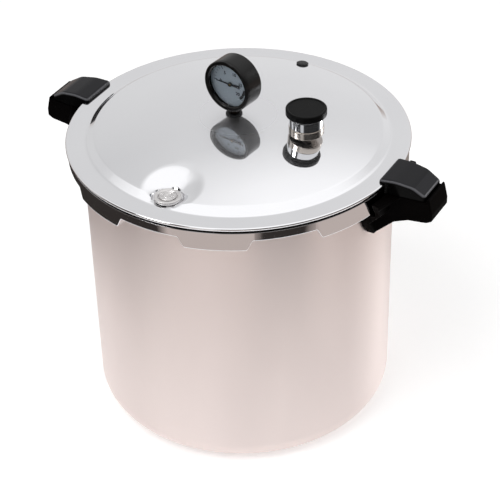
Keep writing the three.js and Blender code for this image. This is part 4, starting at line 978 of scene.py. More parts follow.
@dataclass
class Cover:
    """The pressed cover: dome, shoulder, flat rim, rolled bead and the skirt with its tabs."""

    bayonet: Bayonet
    rim_top: float = 309.0
    sheet: float = 2.6
    rim_inner: float = 154.5
    dome_radius: float = 149.0
    shoulder_rise: float = 5.0
    dome_rise: float = 16.0
    skirt_inner: float = 170.6
    skirt_outer: float = 173.2
    bead_radius: float = 1.7
    bead_outer: float = 175.0
    groove: float = 171.7
    tab_width: float = 22.0
    tab_step: float = 2.5
    tab_bottom: float = 282.2
    tab_top: float = 284.6
    tab_inner: float = 163.0
    short_bottom: float = 293.0
    pocket_place: Point = (138.0, -90.0)
    pocket_floor_radius: float = 14.6
    pocket_foot: float = 1.3
    pocket_slope: float = 0.64
    pocket_blend: float = 5.0
    pocket_limit: float = 50.0
    holes: tuple[tuple[str, float], ...] = (
        ("vent_pipe", 4.9), ("gauge_stem_nut", 5.0), ("lock_collar", 6.3), ("overpressure_plug", 4.1),
    )

    @property
    def crown(self) -> float:
        """Height of the dome's middle."""
        return self.rim_top + self.shoulder_rise + self.dome_rise

    def dome(self, radius: float) -> float:
        """Height of the dome's outer face at a radius."""
        return self.crown - self.dome_rise * (radius / self.dome_radius) ** 2

    def pocket_centre(self) -> Vector:
        """The middle of the hollow that the air vent stands in."""
        distance, turn = self.pocket_place
        return Vector((math.cos(math.radians(turn)), math.sin(math.radians(turn)))) * distance

    def pressed(self, place: np.ndarray, lowered: float) -> np.ndarray:
        """Presses the hollow for the air vent into the top.

        Args:
            place: Points of the outer or the inner face.
            lowered: How far the face lies below the outer one.

        Returns:
            The points, lowered where the hollow is.
        """
        centre = self.pocket_centre()
        off = np.hypot(place[:, 0] - centre.x, place[:, 1] - centre.y)
        out_of_floor = np.maximum(0.0, off - self.pocket_floor_radius)
        foot = self.pocket_foot * (1 - np.exp(-((out_of_floor / 1.2) ** 2)))
        floor = self.rim_top - lowered + foot + self.pocket_slope * out_of_floor
        blend = self.pocket_blend
        gap = np.clip(0.5 + 0.5 * (place[:, 2] - floor) / blend, 0, 1)
        lower = place[:, 2] * (1 - gap) + floor * gap - blend * gap * (1 - gap)
        out = place.copy()
        out[:, 2] = np.minimum(place[:, 2], np.where(off < self.pocket_limit, lower, place[:, 2]))
        return out

    def top_points(self, lowered: float) -> list[Point]:
        """Points from the crown's middle to the rim's inner edge, on the outer or the inner face."""
        step = 2.4 if lowered else 0.9
        first, last = 100.0, self.dome_radius - 6
        count = round((last - first) / step)
        radii = [i * 5.0 for i in range(20)] + [first + (last - first) * i / count for i in range(count + 1)]
        points = [(r, self.dome(r) - lowered) for r in radii]
        start = self.dome_radius - 6
        shoulder = [
            (start, self.dome(start) - lowered, 0),
            (start + 3.2, self.dome(start + 3.2) - lowered, 6.0),
            (self.rim_inner - 0.4, self.rim_top - lowered, 7.0),
            (self.rim_inner + 3.5, self.rim_top - lowered, 0),
        ]
        return points + rounded(shoulder, 9)[1:]

    def skirt_points(self, share: float) -> list[Point]:
        """Points from the bead down the skirt, round its edge or tab and up inside.

        Args:
            share: 1 on a tab and 0 between tabs.
        """
        bottom = self.short_bottom + (self.tab_bottom - self.short_bottom) * share
        tab_top = bottom + self.tab_top - self.tab_bottom
        inward = self.skirt_inner + (self.tab_inner - self.skirt_inner) * share
        middle = (self.bead_outer - self.bead_radius, self.rim_top - self.bead_radius)
        ledge = self.rim_top - 6.4
        points = arc(middle, self.bead_radius, 90, -90, 10)
        points += rounded(
            [
                (*points[-1], 0),
                (self.groove, middle[1] - self.bead_radius, 0.4),
                (self.groove, ledge, 0.4),
                (self.skirt_outer, ledge, 0.5),
                (self.skirt_outer, bottom, 1.2),
                (inward, bottom, 0.5),
                (inward, tab_top + 0.01, 0.5),
                (self.skirt_inner - 0.01, tab_top + 0.02, 0.3),
                (self.skirt_inner, self.rim_top - self.sheet, 1.0),
                (self.rim_inner + 3.5, self.rim_top - self.sheet, 0),
            ],
            4,
        )[1:-1]
        return points

    def build(self) -> None:
        """Builds the cover and drills it for its fittings."""
        centre_turn = self.pocket_place[1]
        dense = [centre_turn + 0.4 * k for k in range(-36, 37)]
        turns = self.bayonet.stations(self.tab_width, self.tab_step, 1.8, dense)
        top, under = self.top_points(0.0), self.top_points(self.sheet)[::-1]
        sections = []
        for turn in turns:
            share = self.bayonet.share(turn, self.tab_width, self.tab_step)
            c, s = math.cos(math.radians(turn)), math.sin(math.radians(turn))
            parts = (top, self.skirt_points(share), under)
            around = [np.array([(r * c, r * s, z) for r, z in part]) for part in parts]
            around[0] = self.pressed(around[0], 0.0)
            around[2] = self.pressed(around[2], self.sheet)
            sections.append(np.concatenate(around))
        piece = swept("pressed_cover", np.array(sections))
        carve(piece, [self.drill(node, radius) for node, radius in self.holes])
        soften(piece, 50, self.rim_inner + 5)
        install(piece, Body.COVER, BUFFED_ALUMINIUM, ["cover"])

    def drill(self, node: str, radius: float) -> Piece:
        """An upright cutter where a fitting stands."""
        middle = centre_of(node)
        ring = circle(radius, 32, (middle.x, middle.y))
        return prism(f"drill_{node}", ring, self.rim_top - 20, self.crown + 10)


# ------------------------------------------------------------------------------ shared pieces
def centre_of(node: str) -> Vector:
    """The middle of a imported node's box, in millimetres."""
    low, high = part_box(node)
    return (low + high) / 2 / MM


def stand_of(node: str) -> Matrix:
    """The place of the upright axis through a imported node's middle."""
    x, y, _ = centre_of(node)
    return Matrix.Translation((x, y, 0))


def heights_of(node: str) -> Span:
    """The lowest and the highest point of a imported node, in millimetres."""
    low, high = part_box(node)
    return low.z / MM, high.z / MM


def bevelled(
    piece: Piece, width: float, segments: int = 3, angle: float = 30.0, clamp: bool = True
) -> Piece:
    """Rounds the edges of a piece and leaves it a plain mesh.

    Args:
        piece: The piece.
        width: Width of the rounding in millimetres.
        segments: Facets across it.
        angle: Degrees between faces, past which an edge is rounded.
        clamp: Whether short edges hold the width back.

    Returns:
        The piece.
    """
    edge = piece.modifiers.new("edge", "BEVEL")
    edge.width, edge.segments = width * MM, segments
    edge.limit_method, edge.angle_limit = "ANGLE", math.radians(angle)
    edge.harden_normals, edge.use_clamp_overlap = False, clamp
    return settle(piece)


def moulded(piece: Piece, grid: float = 0.8, passes: int = 6) -> Piece:
    """Melts a piece's edges together as a moulding tool leaves them.

    Args:
        piece: The piece.
        grid: Size of the even mesh that the skin is remade with, in millimetres.
        passes: How often the skin is smoothed.

    Returns:
        The piece, as a plain mesh.
    """
    remake = piece.modifiers.new("remake", "REMESH")
    remake.mode, remake.voxel_size, remake.use_smooth_shade = "VOXEL", grid * MM, True
    smooth = piece.modifiers.new("smooth", "SMOOTH")
    smooth.factor, smooth.iterations = 0.5, passes
    settle(piece)
    piece.data.shade_smooth()
    return piece


def hexagon(across: float) -> list[Point]:
    """Corners of a hexagon as wide across its flats as given."""
    return arc((0, 0), across / math.sqrt(3), 0, 300, 5)


def hexagon_nut(
    name: str, across: float, bore: float, low: float, high: float, place: Matrix | None = None
) -> Piece:
    """A hexagon nut with rounded edges and a clear bore.

    Args:
        name: The piece's name.
        across: Width across its flats.
        bore: Radius of its bore.
        low: Height of its underside.
        high: Height of its top.
        place: Where it stands, in millimetres.

    Returns:
        The object.
    """
    body = prism(name, hexagon(across), low, high, place)
    bevelled(body, 0.4, 2)
    cutter = prism(f"{name}_bore", circle(bore, 32), low - 1, high + 1, place)
    carve(body, [cutter])
    soften(body, 30)
    return body


@dataclass
class RingPattern:
    """A geometry node tree that sets copies of a shape evenly on an arc."""

    tree: Tree = field(init=False)

    def __post_init__(self) -> None:
        """Builds the tree, with its sizes as named inputs."""
        tree = self.tree = bpy.data.node_groups.new("ring_pattern", "GeometryNodeTree")
        sizes = dict.fromkeys(("Radius", "First", "Pitch"), "Float")
        given = tree_inputs(tree, {"Shape": "Geometry", "Count": "Int"} | sizes | {"Material": "Material"})
        index = add_node(tree, "GeometryNodeInputIndex").outputs[0]
        turn = node_math(tree, "ADD", product(tree, index, given["Pitch"]), given["First"])
        place = on_circle(tree, given["Radius"], turn)
        points = add_node(tree, "GeometryNodePoints", links={"Count": given["Count"], "Position": place})
        spin = add_node(tree, "ShaderNodeCombineXYZ", links={2: turn}).outputs[0]
        euler = add_node(tree, "FunctionNodeEulerToRotation", links={0: spin}).outputs[0]
        copies = add_node(
            tree,
            "GeometryNodeInstanceOnPoints",
            links={"Points": points.outputs[0], "Instance": given["Shape"], "Rotation": euler},
        )
        tree_output(tree, copies.outputs[0], given["Material"])

    def spread(
        self, shape: Piece, count: int, radius: float, first: float, pitch: float, finish: Finish
    ) -> Piece:
        """Replaces a shape at the middle by copies on an arc, as one plain mesh.

        Args:
            shape: The shape, as it stands at turn 0 with the arc's radius taken off.
            count: How many copies.
            radius: The arc's radius in millimetres.
            first: Turn of the first copy in degrees.
            pitch: Degrees from one copy to the next.
            finish: What the copies are made of.

        Returns:
            The object.
        """
        turns = {"First": math.radians(first), "Pitch": math.radians(pitch)}
        given = {"Count": count, "Radius": radius * MM, "Material": finish.material()}
        return run_tree(shape, self.tree, given | turns)


def mirrored(corners: Sequence[Corner]) -> list[Corner]:
    """A whole outline from the corners of its upper half, that start furthest along X."""
    return [*corners, *((x, -y, radius) for x, y, radius in reversed(corners))]


def moved(piece: Piece, place: Matrix) -> Piece:
    """Moves a piece's mesh to its place, given in millimetres."""
    metres = place.copy()
    metres.translation = place.translation * MM
    piece.data.transform(metres)
    return piece


def merged(name: str, parts: Sequence[Piece]) -> Piece:
    """Makes one object from several plain meshes."""
    shape = bmesh.new()
    for part in parts:
        shape.from_mesh(part.data)
        bpy.data.objects.remove(part)
    mesh = bpy.data.meshes.new(name)
    shape.to_mesh(mesh)
    shape.free()
    return mesh_object(name, mesh)


# ------------------------------------------------------------------------------ steam gauge
@dataclass
class SteamGauge:
    """The dial gauge on the cover's crown, in a frame with +Z out of the dial and +Y up."""

    lathe: Lathe
    pattern: RingPattern
    radius: float = 27.3
    depth: float = 23.5
    wall: float = 1.8
    bezel_depth: float = 2.7
    bezel_face: float = 5.0
    lens: float = 1.5
    dial_thickness: float = 0.8
    dial_sink: float = 3.8
    gap: float = 0.3
    highest: int = 20
    step: int = 5
    first_turn: float = 180.0
    sweep: float = 225.0
    tick_radius: float = 20.6
    numeral_radius: float = 12.4
    numeral_size: float = 5.0
    numeral_weight: float = 0.2
    danger_radii: Span = (15.8, 18.8)
    danger_turns: Span = (-8.0, -50.0)
    pointer_length: float = 17.0
    pointer_tail: float = 12.0

    @property
    def place(self) -> Matrix:
        """The gauge's frame, from the pointer's joint."""
        joint = next(j for j in frame["joints"] if j["name"] == "gauge_needle")
        front, up = Vector(joint["axis"]).normalized(), Vector((0, 0, 1))
        turn = Matrix((up.cross(front), up, front)).transposed().to_4x4()
        return Matrix.Translation(Vector(joint["pos_m"]) / MM) @ turn

    @property
    def front(self) -> float:
        """The bezel's face."""
        return self.depth / 2

    @property
    def case_front(self) -> float:
        """The case's open edge."""
        return self.front - self.bezel_depth - self.gap

    @property
    def dial_face(self) -> float:
        """The face that carries the scale."""
        return self.case_front - self.lens - self.dial_sink

    def case(self) -> None:
        """Builds the drawn case with its hole for the stem."""
        back, r = -self.depth / 2, self.radius
        inner = r - self.wall
        outline = [(0.0, back + 0.6), (r - 8, back + 0.6), (r - 6.6, back)]
        outline += arc((r - 2.2, back + 2.2), 2.2, -90, 0, 8)
        outline += [(r, self.case_front - 0.3), (r - 0.3, self.case_front), (inner, self.case_front)]
        outline += [(inner, back + self.wall + 1), (inner - 1, back + self.wall), (0.0, back + self.wall)]
        cup = self.lathe.turn("pressed_case", outline, CASE_ENAMEL, 128, self.place)
        downward = self.place @ Matrix.Rotation(math.pi / 2, 4, "X")
        hole = prism("hole", circle(5.0, 32), 0, r + 1, downward)
        carve(cup, [hole])
        soften(cup)
        install(cup, Body.COVER, CASE_ENAMEL, ["gauge_case"])

    def bezel(self) -> None:
        """Builds the ring that holds the lens."""
        low, r = self.case_front + self.gap, self.radius
        inner = r - self.bezel_face
        outline = [(inner, low), (r - 0.3, low), (r, low + 0.3)]
        outline += arc((r - 1.4, self.front - 1.4), 1.4, 0, 90, 8)
        outline += [(inner + 1.6, self.front), (inner + 0.9, self.front - 0.35)]
        outline += [(inner, self.front - 1.6), (inner, low)]
        self.lathe.fit("rolled_bezel", outline, CASE_ENAMEL, Body.COVER, ["gauge_bezel"], 128, self.place)

    def window(self) -> None:
        """Builds the clear lens."""
        r = self.radius - self.wall - self.gap
        back, face = self.case_front - self.lens, self.case_front
        outline = [(0.0, back), (r - 0.2, back), (r, back + 0.2)]
        outline += [(r, face - 0.2), (r - 0.2, face), (0.0, face)]
        self.lathe.fit("clear_lens", outline, CLEAR_LENS, Body.COVER, ["gauge_lens"], 128, self.place)

    def dial(self) -> None:
        """Builds the dial plate with its scale."""
        r = self.radius - self.wall - 2 * self.gap
        back, face = self.dial_face - self.dial_thickness, self.dial_face
        outline = [(1.8, back), (r, back), (r, face), (1.8, face), (1.8, back)]
        self.lathe.fit("printed_dial", outline, DIAL_PRINT, Body.COVER, ["gauge_dial"], 128, self.place)
        self.scale(face + 0.02)

    def scale(self, height: float) -> None:
        """Prints the ticks, the numerals and the danger arc.

        Args:
            height: Where the ink lies.
        """
        pitch = self.sweep / self.highest
        long_count = self.highest // self.step + 1
        kinds = [
            ("fine_ticks", self.highest + 1, pitch, 2.2, 0.4),
            ("main_ticks", long_count, pitch * self.step, 3.6, 0.8),
        ]
        ink = []
        for name, count, gap, length, width in kinds:
            bar = [(-length, -width / 2), (0, -width / 2), (0, width / 2), (-length, width / 2)]
            tick = prism(name, bar, height, height + 0.08)
            ink.append(self.pattern.spread(tick, count, self.tick_radius, self.first_turn, -gap, DIAL_INK))
        for value in range(0, self.highest + 1, self.step):
            turn = math.radians(self.first_turn - pitch * value)
            at = Vector((math.cos(turn), math.sin(turn))) * self.numeral_radius
            ink.append(self.numeral(str(value), at, height))
        (inner, outer), (start, end) = self.danger_radii, self.danger_turns
        ring = arc((0, 0), outer, start, end, 16) + arc((0, 0), inner, end, start, 16)
        ink.append(prism("danger_arc", ring, height, height + 0.08))
        scale = moved(merged("printed_scale", ink), self.place)
        install(scale, Body.COVER, DIAL_INK)

    def numeral(self, text: str, at: Vector, height: float) -> Piece:
        """Makes a printed number.

        Args:
            text: The number.
            at: Its middle on the dial.
            height: Where the ink lies.

        Returns:
            The number's mesh, in the gauge's frame.
        """
        letters = bpy.data.curves.new(f"numeral_{text}", "FONT")
        letters.body, letters.size = text, self.numeral_size * MM
        letters.align_x, letters.align_y = "CENTER", "CENTER"
        letters.extrude, letters.resolution_u = 0.04 * MM, 4
        letters.offset = self.numeral_weight * MM
        source = bpy.data.objects.new(f"letters_{text}", letters)
        bpy.context.scene.collection.objects.link(source)
        graph = bpy.context.evaluated_depsgraph_get()
        mesh = bpy.data.meshes.new_from_object(source.evaluated_get(graph), depsgraph=graph)
        bpy.data.objects.remove(source)
        return moved(mesh_object(f"numeral_{text}", mesh), Matrix.Translation((at.x, at.y, height + 0.04)))

    def pointer(self) -> None:
        """Builds the pointer with its hub."""
        low = self.dial_face + 1.0
        blade = [(-self.pointer_length, 0.25), (-self.pointer_length, -0.25), (-2.4, -0.8), (2.4, -0.9)]
        blade += [(self.pointer_tail, -1.7), (self.pointer_tail, 1.7), (2.4, 0.9), (-2.4, 0.8)]
        parts = [prism("blade", blade, low, low + 0.6, self.place)]
        hub = [(1.25, low - 0.3), (2.4, low - 0.3), (2.4, low + 1.1), (2.0, low + 1.5)]
        hub += [(1.25, low + 1.5), (1.25, low - 0.3)]
        parts.append(self.lathe.turn("hub", hub, DIAL_INK, 48, self.place))
        arrow = carve(parts[0], parts[1:], "UNION")
        hole = prism("bore", circle(1.25, 24), low - 1, low + 3, self.place)
        carve(arrow, [hole])
        arrow.name = "black_pointer"
        install(arrow, Body.POINTER, DIAL_INK, ["gauge_pointer"])

    def seat(self) -> None:
        """Builds the washer and the nut that hold the stem in the cover."""
        upright = stand_of("gauge_washer")
        low, high = heights_of("gauge_washer")
        outline = [(5.0, low), (8.2, low), *arc((7.9, (low + high) / 2), (high - low) / 2, -80, 80, 6)]
        outline += [(5.0, high), (5.0, low)]
        self.lathe.fit("stem_washer", outline, NITRILE_RUBBER, Body.COVER, ["gauge_washer"], 64, upright)
        low, high = heights_of("gauge_stem_nut")
        nut = hexagon_nut("stem_lock_nut", 17.0, 5.0, low, high, upright)
        install(nut, Body.COVER, STAMPED_BRASS, ["gauge_stem_nut"])

    def build(self) -> None:
        """Builds the whole gauge."""
        for make in (self.case, self.bezel, self.window, self.dial, self.pointer, self.seat):
            make()


# ------------------------------------------------------------------------------ fittings
@dataclass
class PressureRegulator:
    """The capped weight on the vent pipe: a turned lower part and a chromed upper part."""

    lathe: Lathe
    radius: float = 17.6
    upper_radius: float = 17.1
    split: float = 8.4
    bore: float = 4.4
    bore_depth: float = 12.0
    neck: float = 8.0
    cap_radius: float = 20.5
    cap_chamfer: float = 3.0
    border: float = 2.2
    recess: float = 0.7

    def build(self) -> None:
        """Builds the weight, its cap and the vent pipe below."""
        stand = stand_of("regulator_weight")
        low, neck_top = heights_of("regulator_weight")
        cap_low, cap_top = heights_of("regulator_cap")
        top, split, bore = cap_low - 0.3, low + self.split, self.bore
        lower = [(bore, low + 1), (bore + 1, low), (self.radius - 1.2, low)]
        lower += arc((self.radius - 0.8, low + 0.8), 0.8, -60, 0, 4)
        lower += arc((self.radius - 0.8, split - 0.8), 0.8, 0, 90, 4) + [(bore, split), (bore, low + 1)]
        self.lathe.fit(
            "turned_weight", lower, TURNED_STEEL, Body.REGULATOR, ["regulator_weight"], 128, stand
        )
        roof = low + self.bore_depth
        upper = [(0.0, roof), (bore, roof), (bore, split + 0.05), (self.upper_radius - 0.5, split + 0.05)]
        upper += [(self.upper_radius, split + 0.55), (self.upper_radius, top - 0.4)]
        upper += [(self.upper_radius - 0.4, top), (self.neck, top), (self.neck, neck_top), (0.0, neck_top)]
        self.lathe.fit("chromed_weight", upper, CHROME_PLATE, Body.REGULATOR, [], 128, stand)
        self.cap(stand, cap_low, cap_top, neck_top + 0.3)
        self.vent(low + self.bore_depth - 0.3)

    def cap(self, stand: Matrix, low: float, top: float, roof: float) -> None:
        """Builds the moulded cap.

        Args:
            stand: The regulator's axis.
            low: Height of the cap's lower edge.
            top: Height of its upper edge.
            roof: Height of its socket's end.
        """
        r, socket = self.cap_radius, self.neck + 0.3
        edge, floor = r - self.border, top - self.recess
        outline = [(0.0, roof), (socket, roof), (socket, low), (self.radius - 0.3, low)]
        corners = [(self.radius, low, 0), (r, low + self.cap_chamfer, 1.2), (r, top, 1.1)]
        corners += [(edge, top, 0.3), (edge - self.recess, floor, 0.4), (0.0, floor, 0)]
        outline += rounded(corners, 5)
        self.lathe.fit(
            "regulator_cap_moulding", outline, CAP_PHENOLIC, Body.REGULATOR, ["regulator_cap"], 128, stand
        )

    def vent(self, top: float) -> None:
        """Builds the vent pipe that the weight sits on, and its nut.

        Args:
            top: Height of the pipe's mouth.
        """
        stand = stand_of("vent_pipe")
        end, _ = heights_of("vent_pipe")
        nut_low, nut_high = heights_of("vent_pipe_nut")
        seat = nut_high + 2.6 + 0.6
        outline = [(1.5, end), (4.2, end), (4.6, end + 0.5), (4.6, seat), (4.6, seat + 3.6)]
        outline += [(3.8, seat + 4.4), (3.8, top - 2.0), (2.4, top - 0.1), (1.5, top), (1.5, end)]
        self.lathe.fit("vent_pipe_tube", outline, CHROME_PLATE, Body.COVER, ["vent_pipe"], 64, stand)
        base = hexagon_nut("vent_pipe_base", 12.0, 4.5, seat, seat + 3.0, stand)
        install(base, Body.COVER, CHROME_PLATE)
        nut = hexagon_nut("vent_lock_nut", 15.0, 4.9, nut_low, nut_high, stand)
        install(nut, Body.COVER, PLATED_STEEL, ["vent_pipe_nut"])


@dataclass
class AirVentLock:
    """The collar in the hollow of the cover and the plunger that rises in it."""

    lathe: Lathe
    radius: float = 13.5
    well: float = 9.0
    neck: float = 6.0
    bore: float = 2.9
    floor: float = 1.3
    shaft: float = 2.6
    foot: float = 5.0
    foot_height: float = 3.2
    disc_height: float = 1.6

    def build(self) -> None:
        """Builds the collar, the plunger and what holds them."""
        stand = stand_of("lock_collar")
        end, brim = heights_of("lock_collar")
        seat = brim - 3.0
        r, well, floor = self.radius, self.well, seat + self.floor
        outline = [(self.bore, end + 0.4), (self.bore + 0.4, end), (self.neck - 0.5, end)]
        outline += [(self.neck, end + 0.5), (self.neck, seat), (r - 0.3, seat)]
        outline += [*arc((r - 1.4, brim - 1.4), 1.4, 0, 90, 6), (well + 1.6, brim), (well + 0.6, brim - 0.5)]
        outline += [(well, brim - 1.3), (well, floor), (self.bore, floor), outline[0]]
        self.lathe.fit(
            "lock_collar_turned", outline, TURNED_ALUMINIUM, Body.COVER, ["lock_collar"], 96, stand
        )
        nut_low, nut_high = heights_of("lock_collar_nut")
        nut = hexagon_nut("collar_lock_nut", 18.0, 6.3, nut_low, nut_high, stand)
        install(nut, Body.COVER, PLATED_STEEL, ["lock_collar_nut"])
        self.plunger(stand)

    def plunger(self, stand: Matrix) -> None:
        """Builds the plunger with its rings, and its gasket."""
        low, top = heights_of("lock_plunger")
        disc, under, foot_top = self.well - 0.6, top - self.disc_height, low + self.foot_height
        outline = [(0.0, low), (self.foot - 1, low), (self.foot, low + 1), (self.foot, foot_top)]
        outline += [(self.shaft, foot_top), (self.shaft, under), (disc, under)]
        outline += [(disc, top - 0.5), (disc - 0.5, top)]
        for ring in (0.78, 0.5):
            middle = disc * ring
            outline += [(middle + 0.9, top), (middle + 0.4, top - 0.5)]
            outline += [(middle - 0.4, top - 0.5), (middle - 0.9, top)]
        outline += [(1.6, top), (0.9, top - 0.35), (0.0, top - 0.35)]
        self.lathe.fit(
            "lock_plunger_turned", outline, TURNED_ALUMINIUM, Body.AIR_VENT, ["lock_plunger"], 96, stand
        )
        low, high = heights_of("lock_gasket")
        middle, half = (low + high) / 2, (high - low) / 2
        edge = self.foot - 1.6
        ring = [(3.0, low), (edge, low), *arc((edge, middle), half, -90, 90, 8), (3.0, high), (3.0, low)]
        self.lathe.fit("plunger_gasket", ring, NITRILE_RUBBER, Body.AIR_VENT, ["lock_gasket"], 64, stand)


@dataclass
class OverpressurePlug:
    """The rubber plug in the far edge of the dome."""

    lathe: Lathe
    cover: Cover
    offset: float = 141.0
    turn: float = 90.0
    radius: float = 6.4
    neck: float = 3.8
    rise: float = 2.6

    def build(self) -> None:
        """Builds the plug square on the dome."""
        slope = math.atan(2 * self.cover.dome_rise * self.offset / self.cover.dome_radius**2)
        place = Matrix.Rotation(math.radians(self.turn), 4, "Z")
        place = place @ Matrix.Translation((self.offset, 0, self.cover.dome(self.offset)))
        place = place @ Matrix.Rotation(slope, 4, "Y")
        under, r = -self.cover.sheet - 0.3, self.radius
        corners = [(0, under - self.rise, 0), (r * 0.6, under - self.rise, 0.8), (r * 0.85, under, 0.2)]
        corners += [(self.neck, under, 0), (self.neck, 0.3, 0), (r, 0.3, 0.2), (r, 1.4, 0.5)]
        corners += [(r * 0.72, 2.4, 1.2), (r * 0.3, self.rise, 1.2), (0, self.rise, 0)]
        outline = rounded(corners, 4)
        self.lathe.fit(
            "rubber_overpressure_plug", outline, NITRILE_RUBBER, Body.COVER, ["overpressure_plug"], 64, place
        )


@dataclass
class SealingRing:
    """The moulded ring that seals the cover against the rim."""

    lathe: Lathe
    outer: float = 170.3
    width: float = 13.8

    def build(self) -> None:
        """Builds the ring with its two lips."""
        low, high = heights_of("sealing_ring")
        middle, inner, outer = (low + high) / 2, self.outer - self.width, self.outer
        corners = [(inner, low, 0), (outer - 1, low, 0.8), (outer, middle, 2), (outer - 1, high, 0.8)]
        corners += [(inner, high, 0.5), (inner + self.width / 2, middle, 1.2), (inner, low, 0)]
        outline = rounded(corners, 4)
        self.lathe.fit("moulded_sealing_ring", outline, NITRILE_RUBBER, Body.COVER, ["sealing_ring"], 256)


# ------------------------------------------------------------------------------ handles
@dataclass
class HandleStrap:
    """The room that a handle leaves for its sheet strap and screw."""

    wall: float
    reach: float
    grip: float
    width: float = 18.0
    screw: float = 2.0
    inset: float = 8.0

    def cutters(self, low: float, top: float, turn: Matrix) -> list[Piece]:
        """The shapes that are cut out of the handle.

        Args:
            low: Height that the room starts from.
            top: Height of the strap's tongue.
            turn: The side's turn.

        Returns:
            The cutters.
        """
        half, end = self.width / 2 + 0.3, self.wall + 0.6 + self.reach
        room = [(self.wall - 1, -half), (end, -half), (end, half), (self.wall - 1, half)]
        bore = circle(self.screw + 0.3, 24, (end - 0.3 - self.inset, 0))
        return [
            prism("strap_room", room, low, top + 0.3, turn),
            prism("screw_bore", bore, top, top + 0.3 + self.grip, turn),
        ]


def narrowed(piece: Piece, start: float, end: float, share: float) -> Piece:
    """Narrows a piece along the handle axis.

    Args:
        piece: The piece.
        start: Distance from the canner's axis where it is still full, in millimetres.
        end: Distance where it has the share of its width.
        share: That share.

    Returns:
        The piece.
    """
    for vertex in piece.data.vertices:
        along = (abs(vertex.co.x) / MM - start) / (end - start)
        vertex.co.y *= 1 + (share - 1) * min(1.0, max(0.0, along))
    return piece


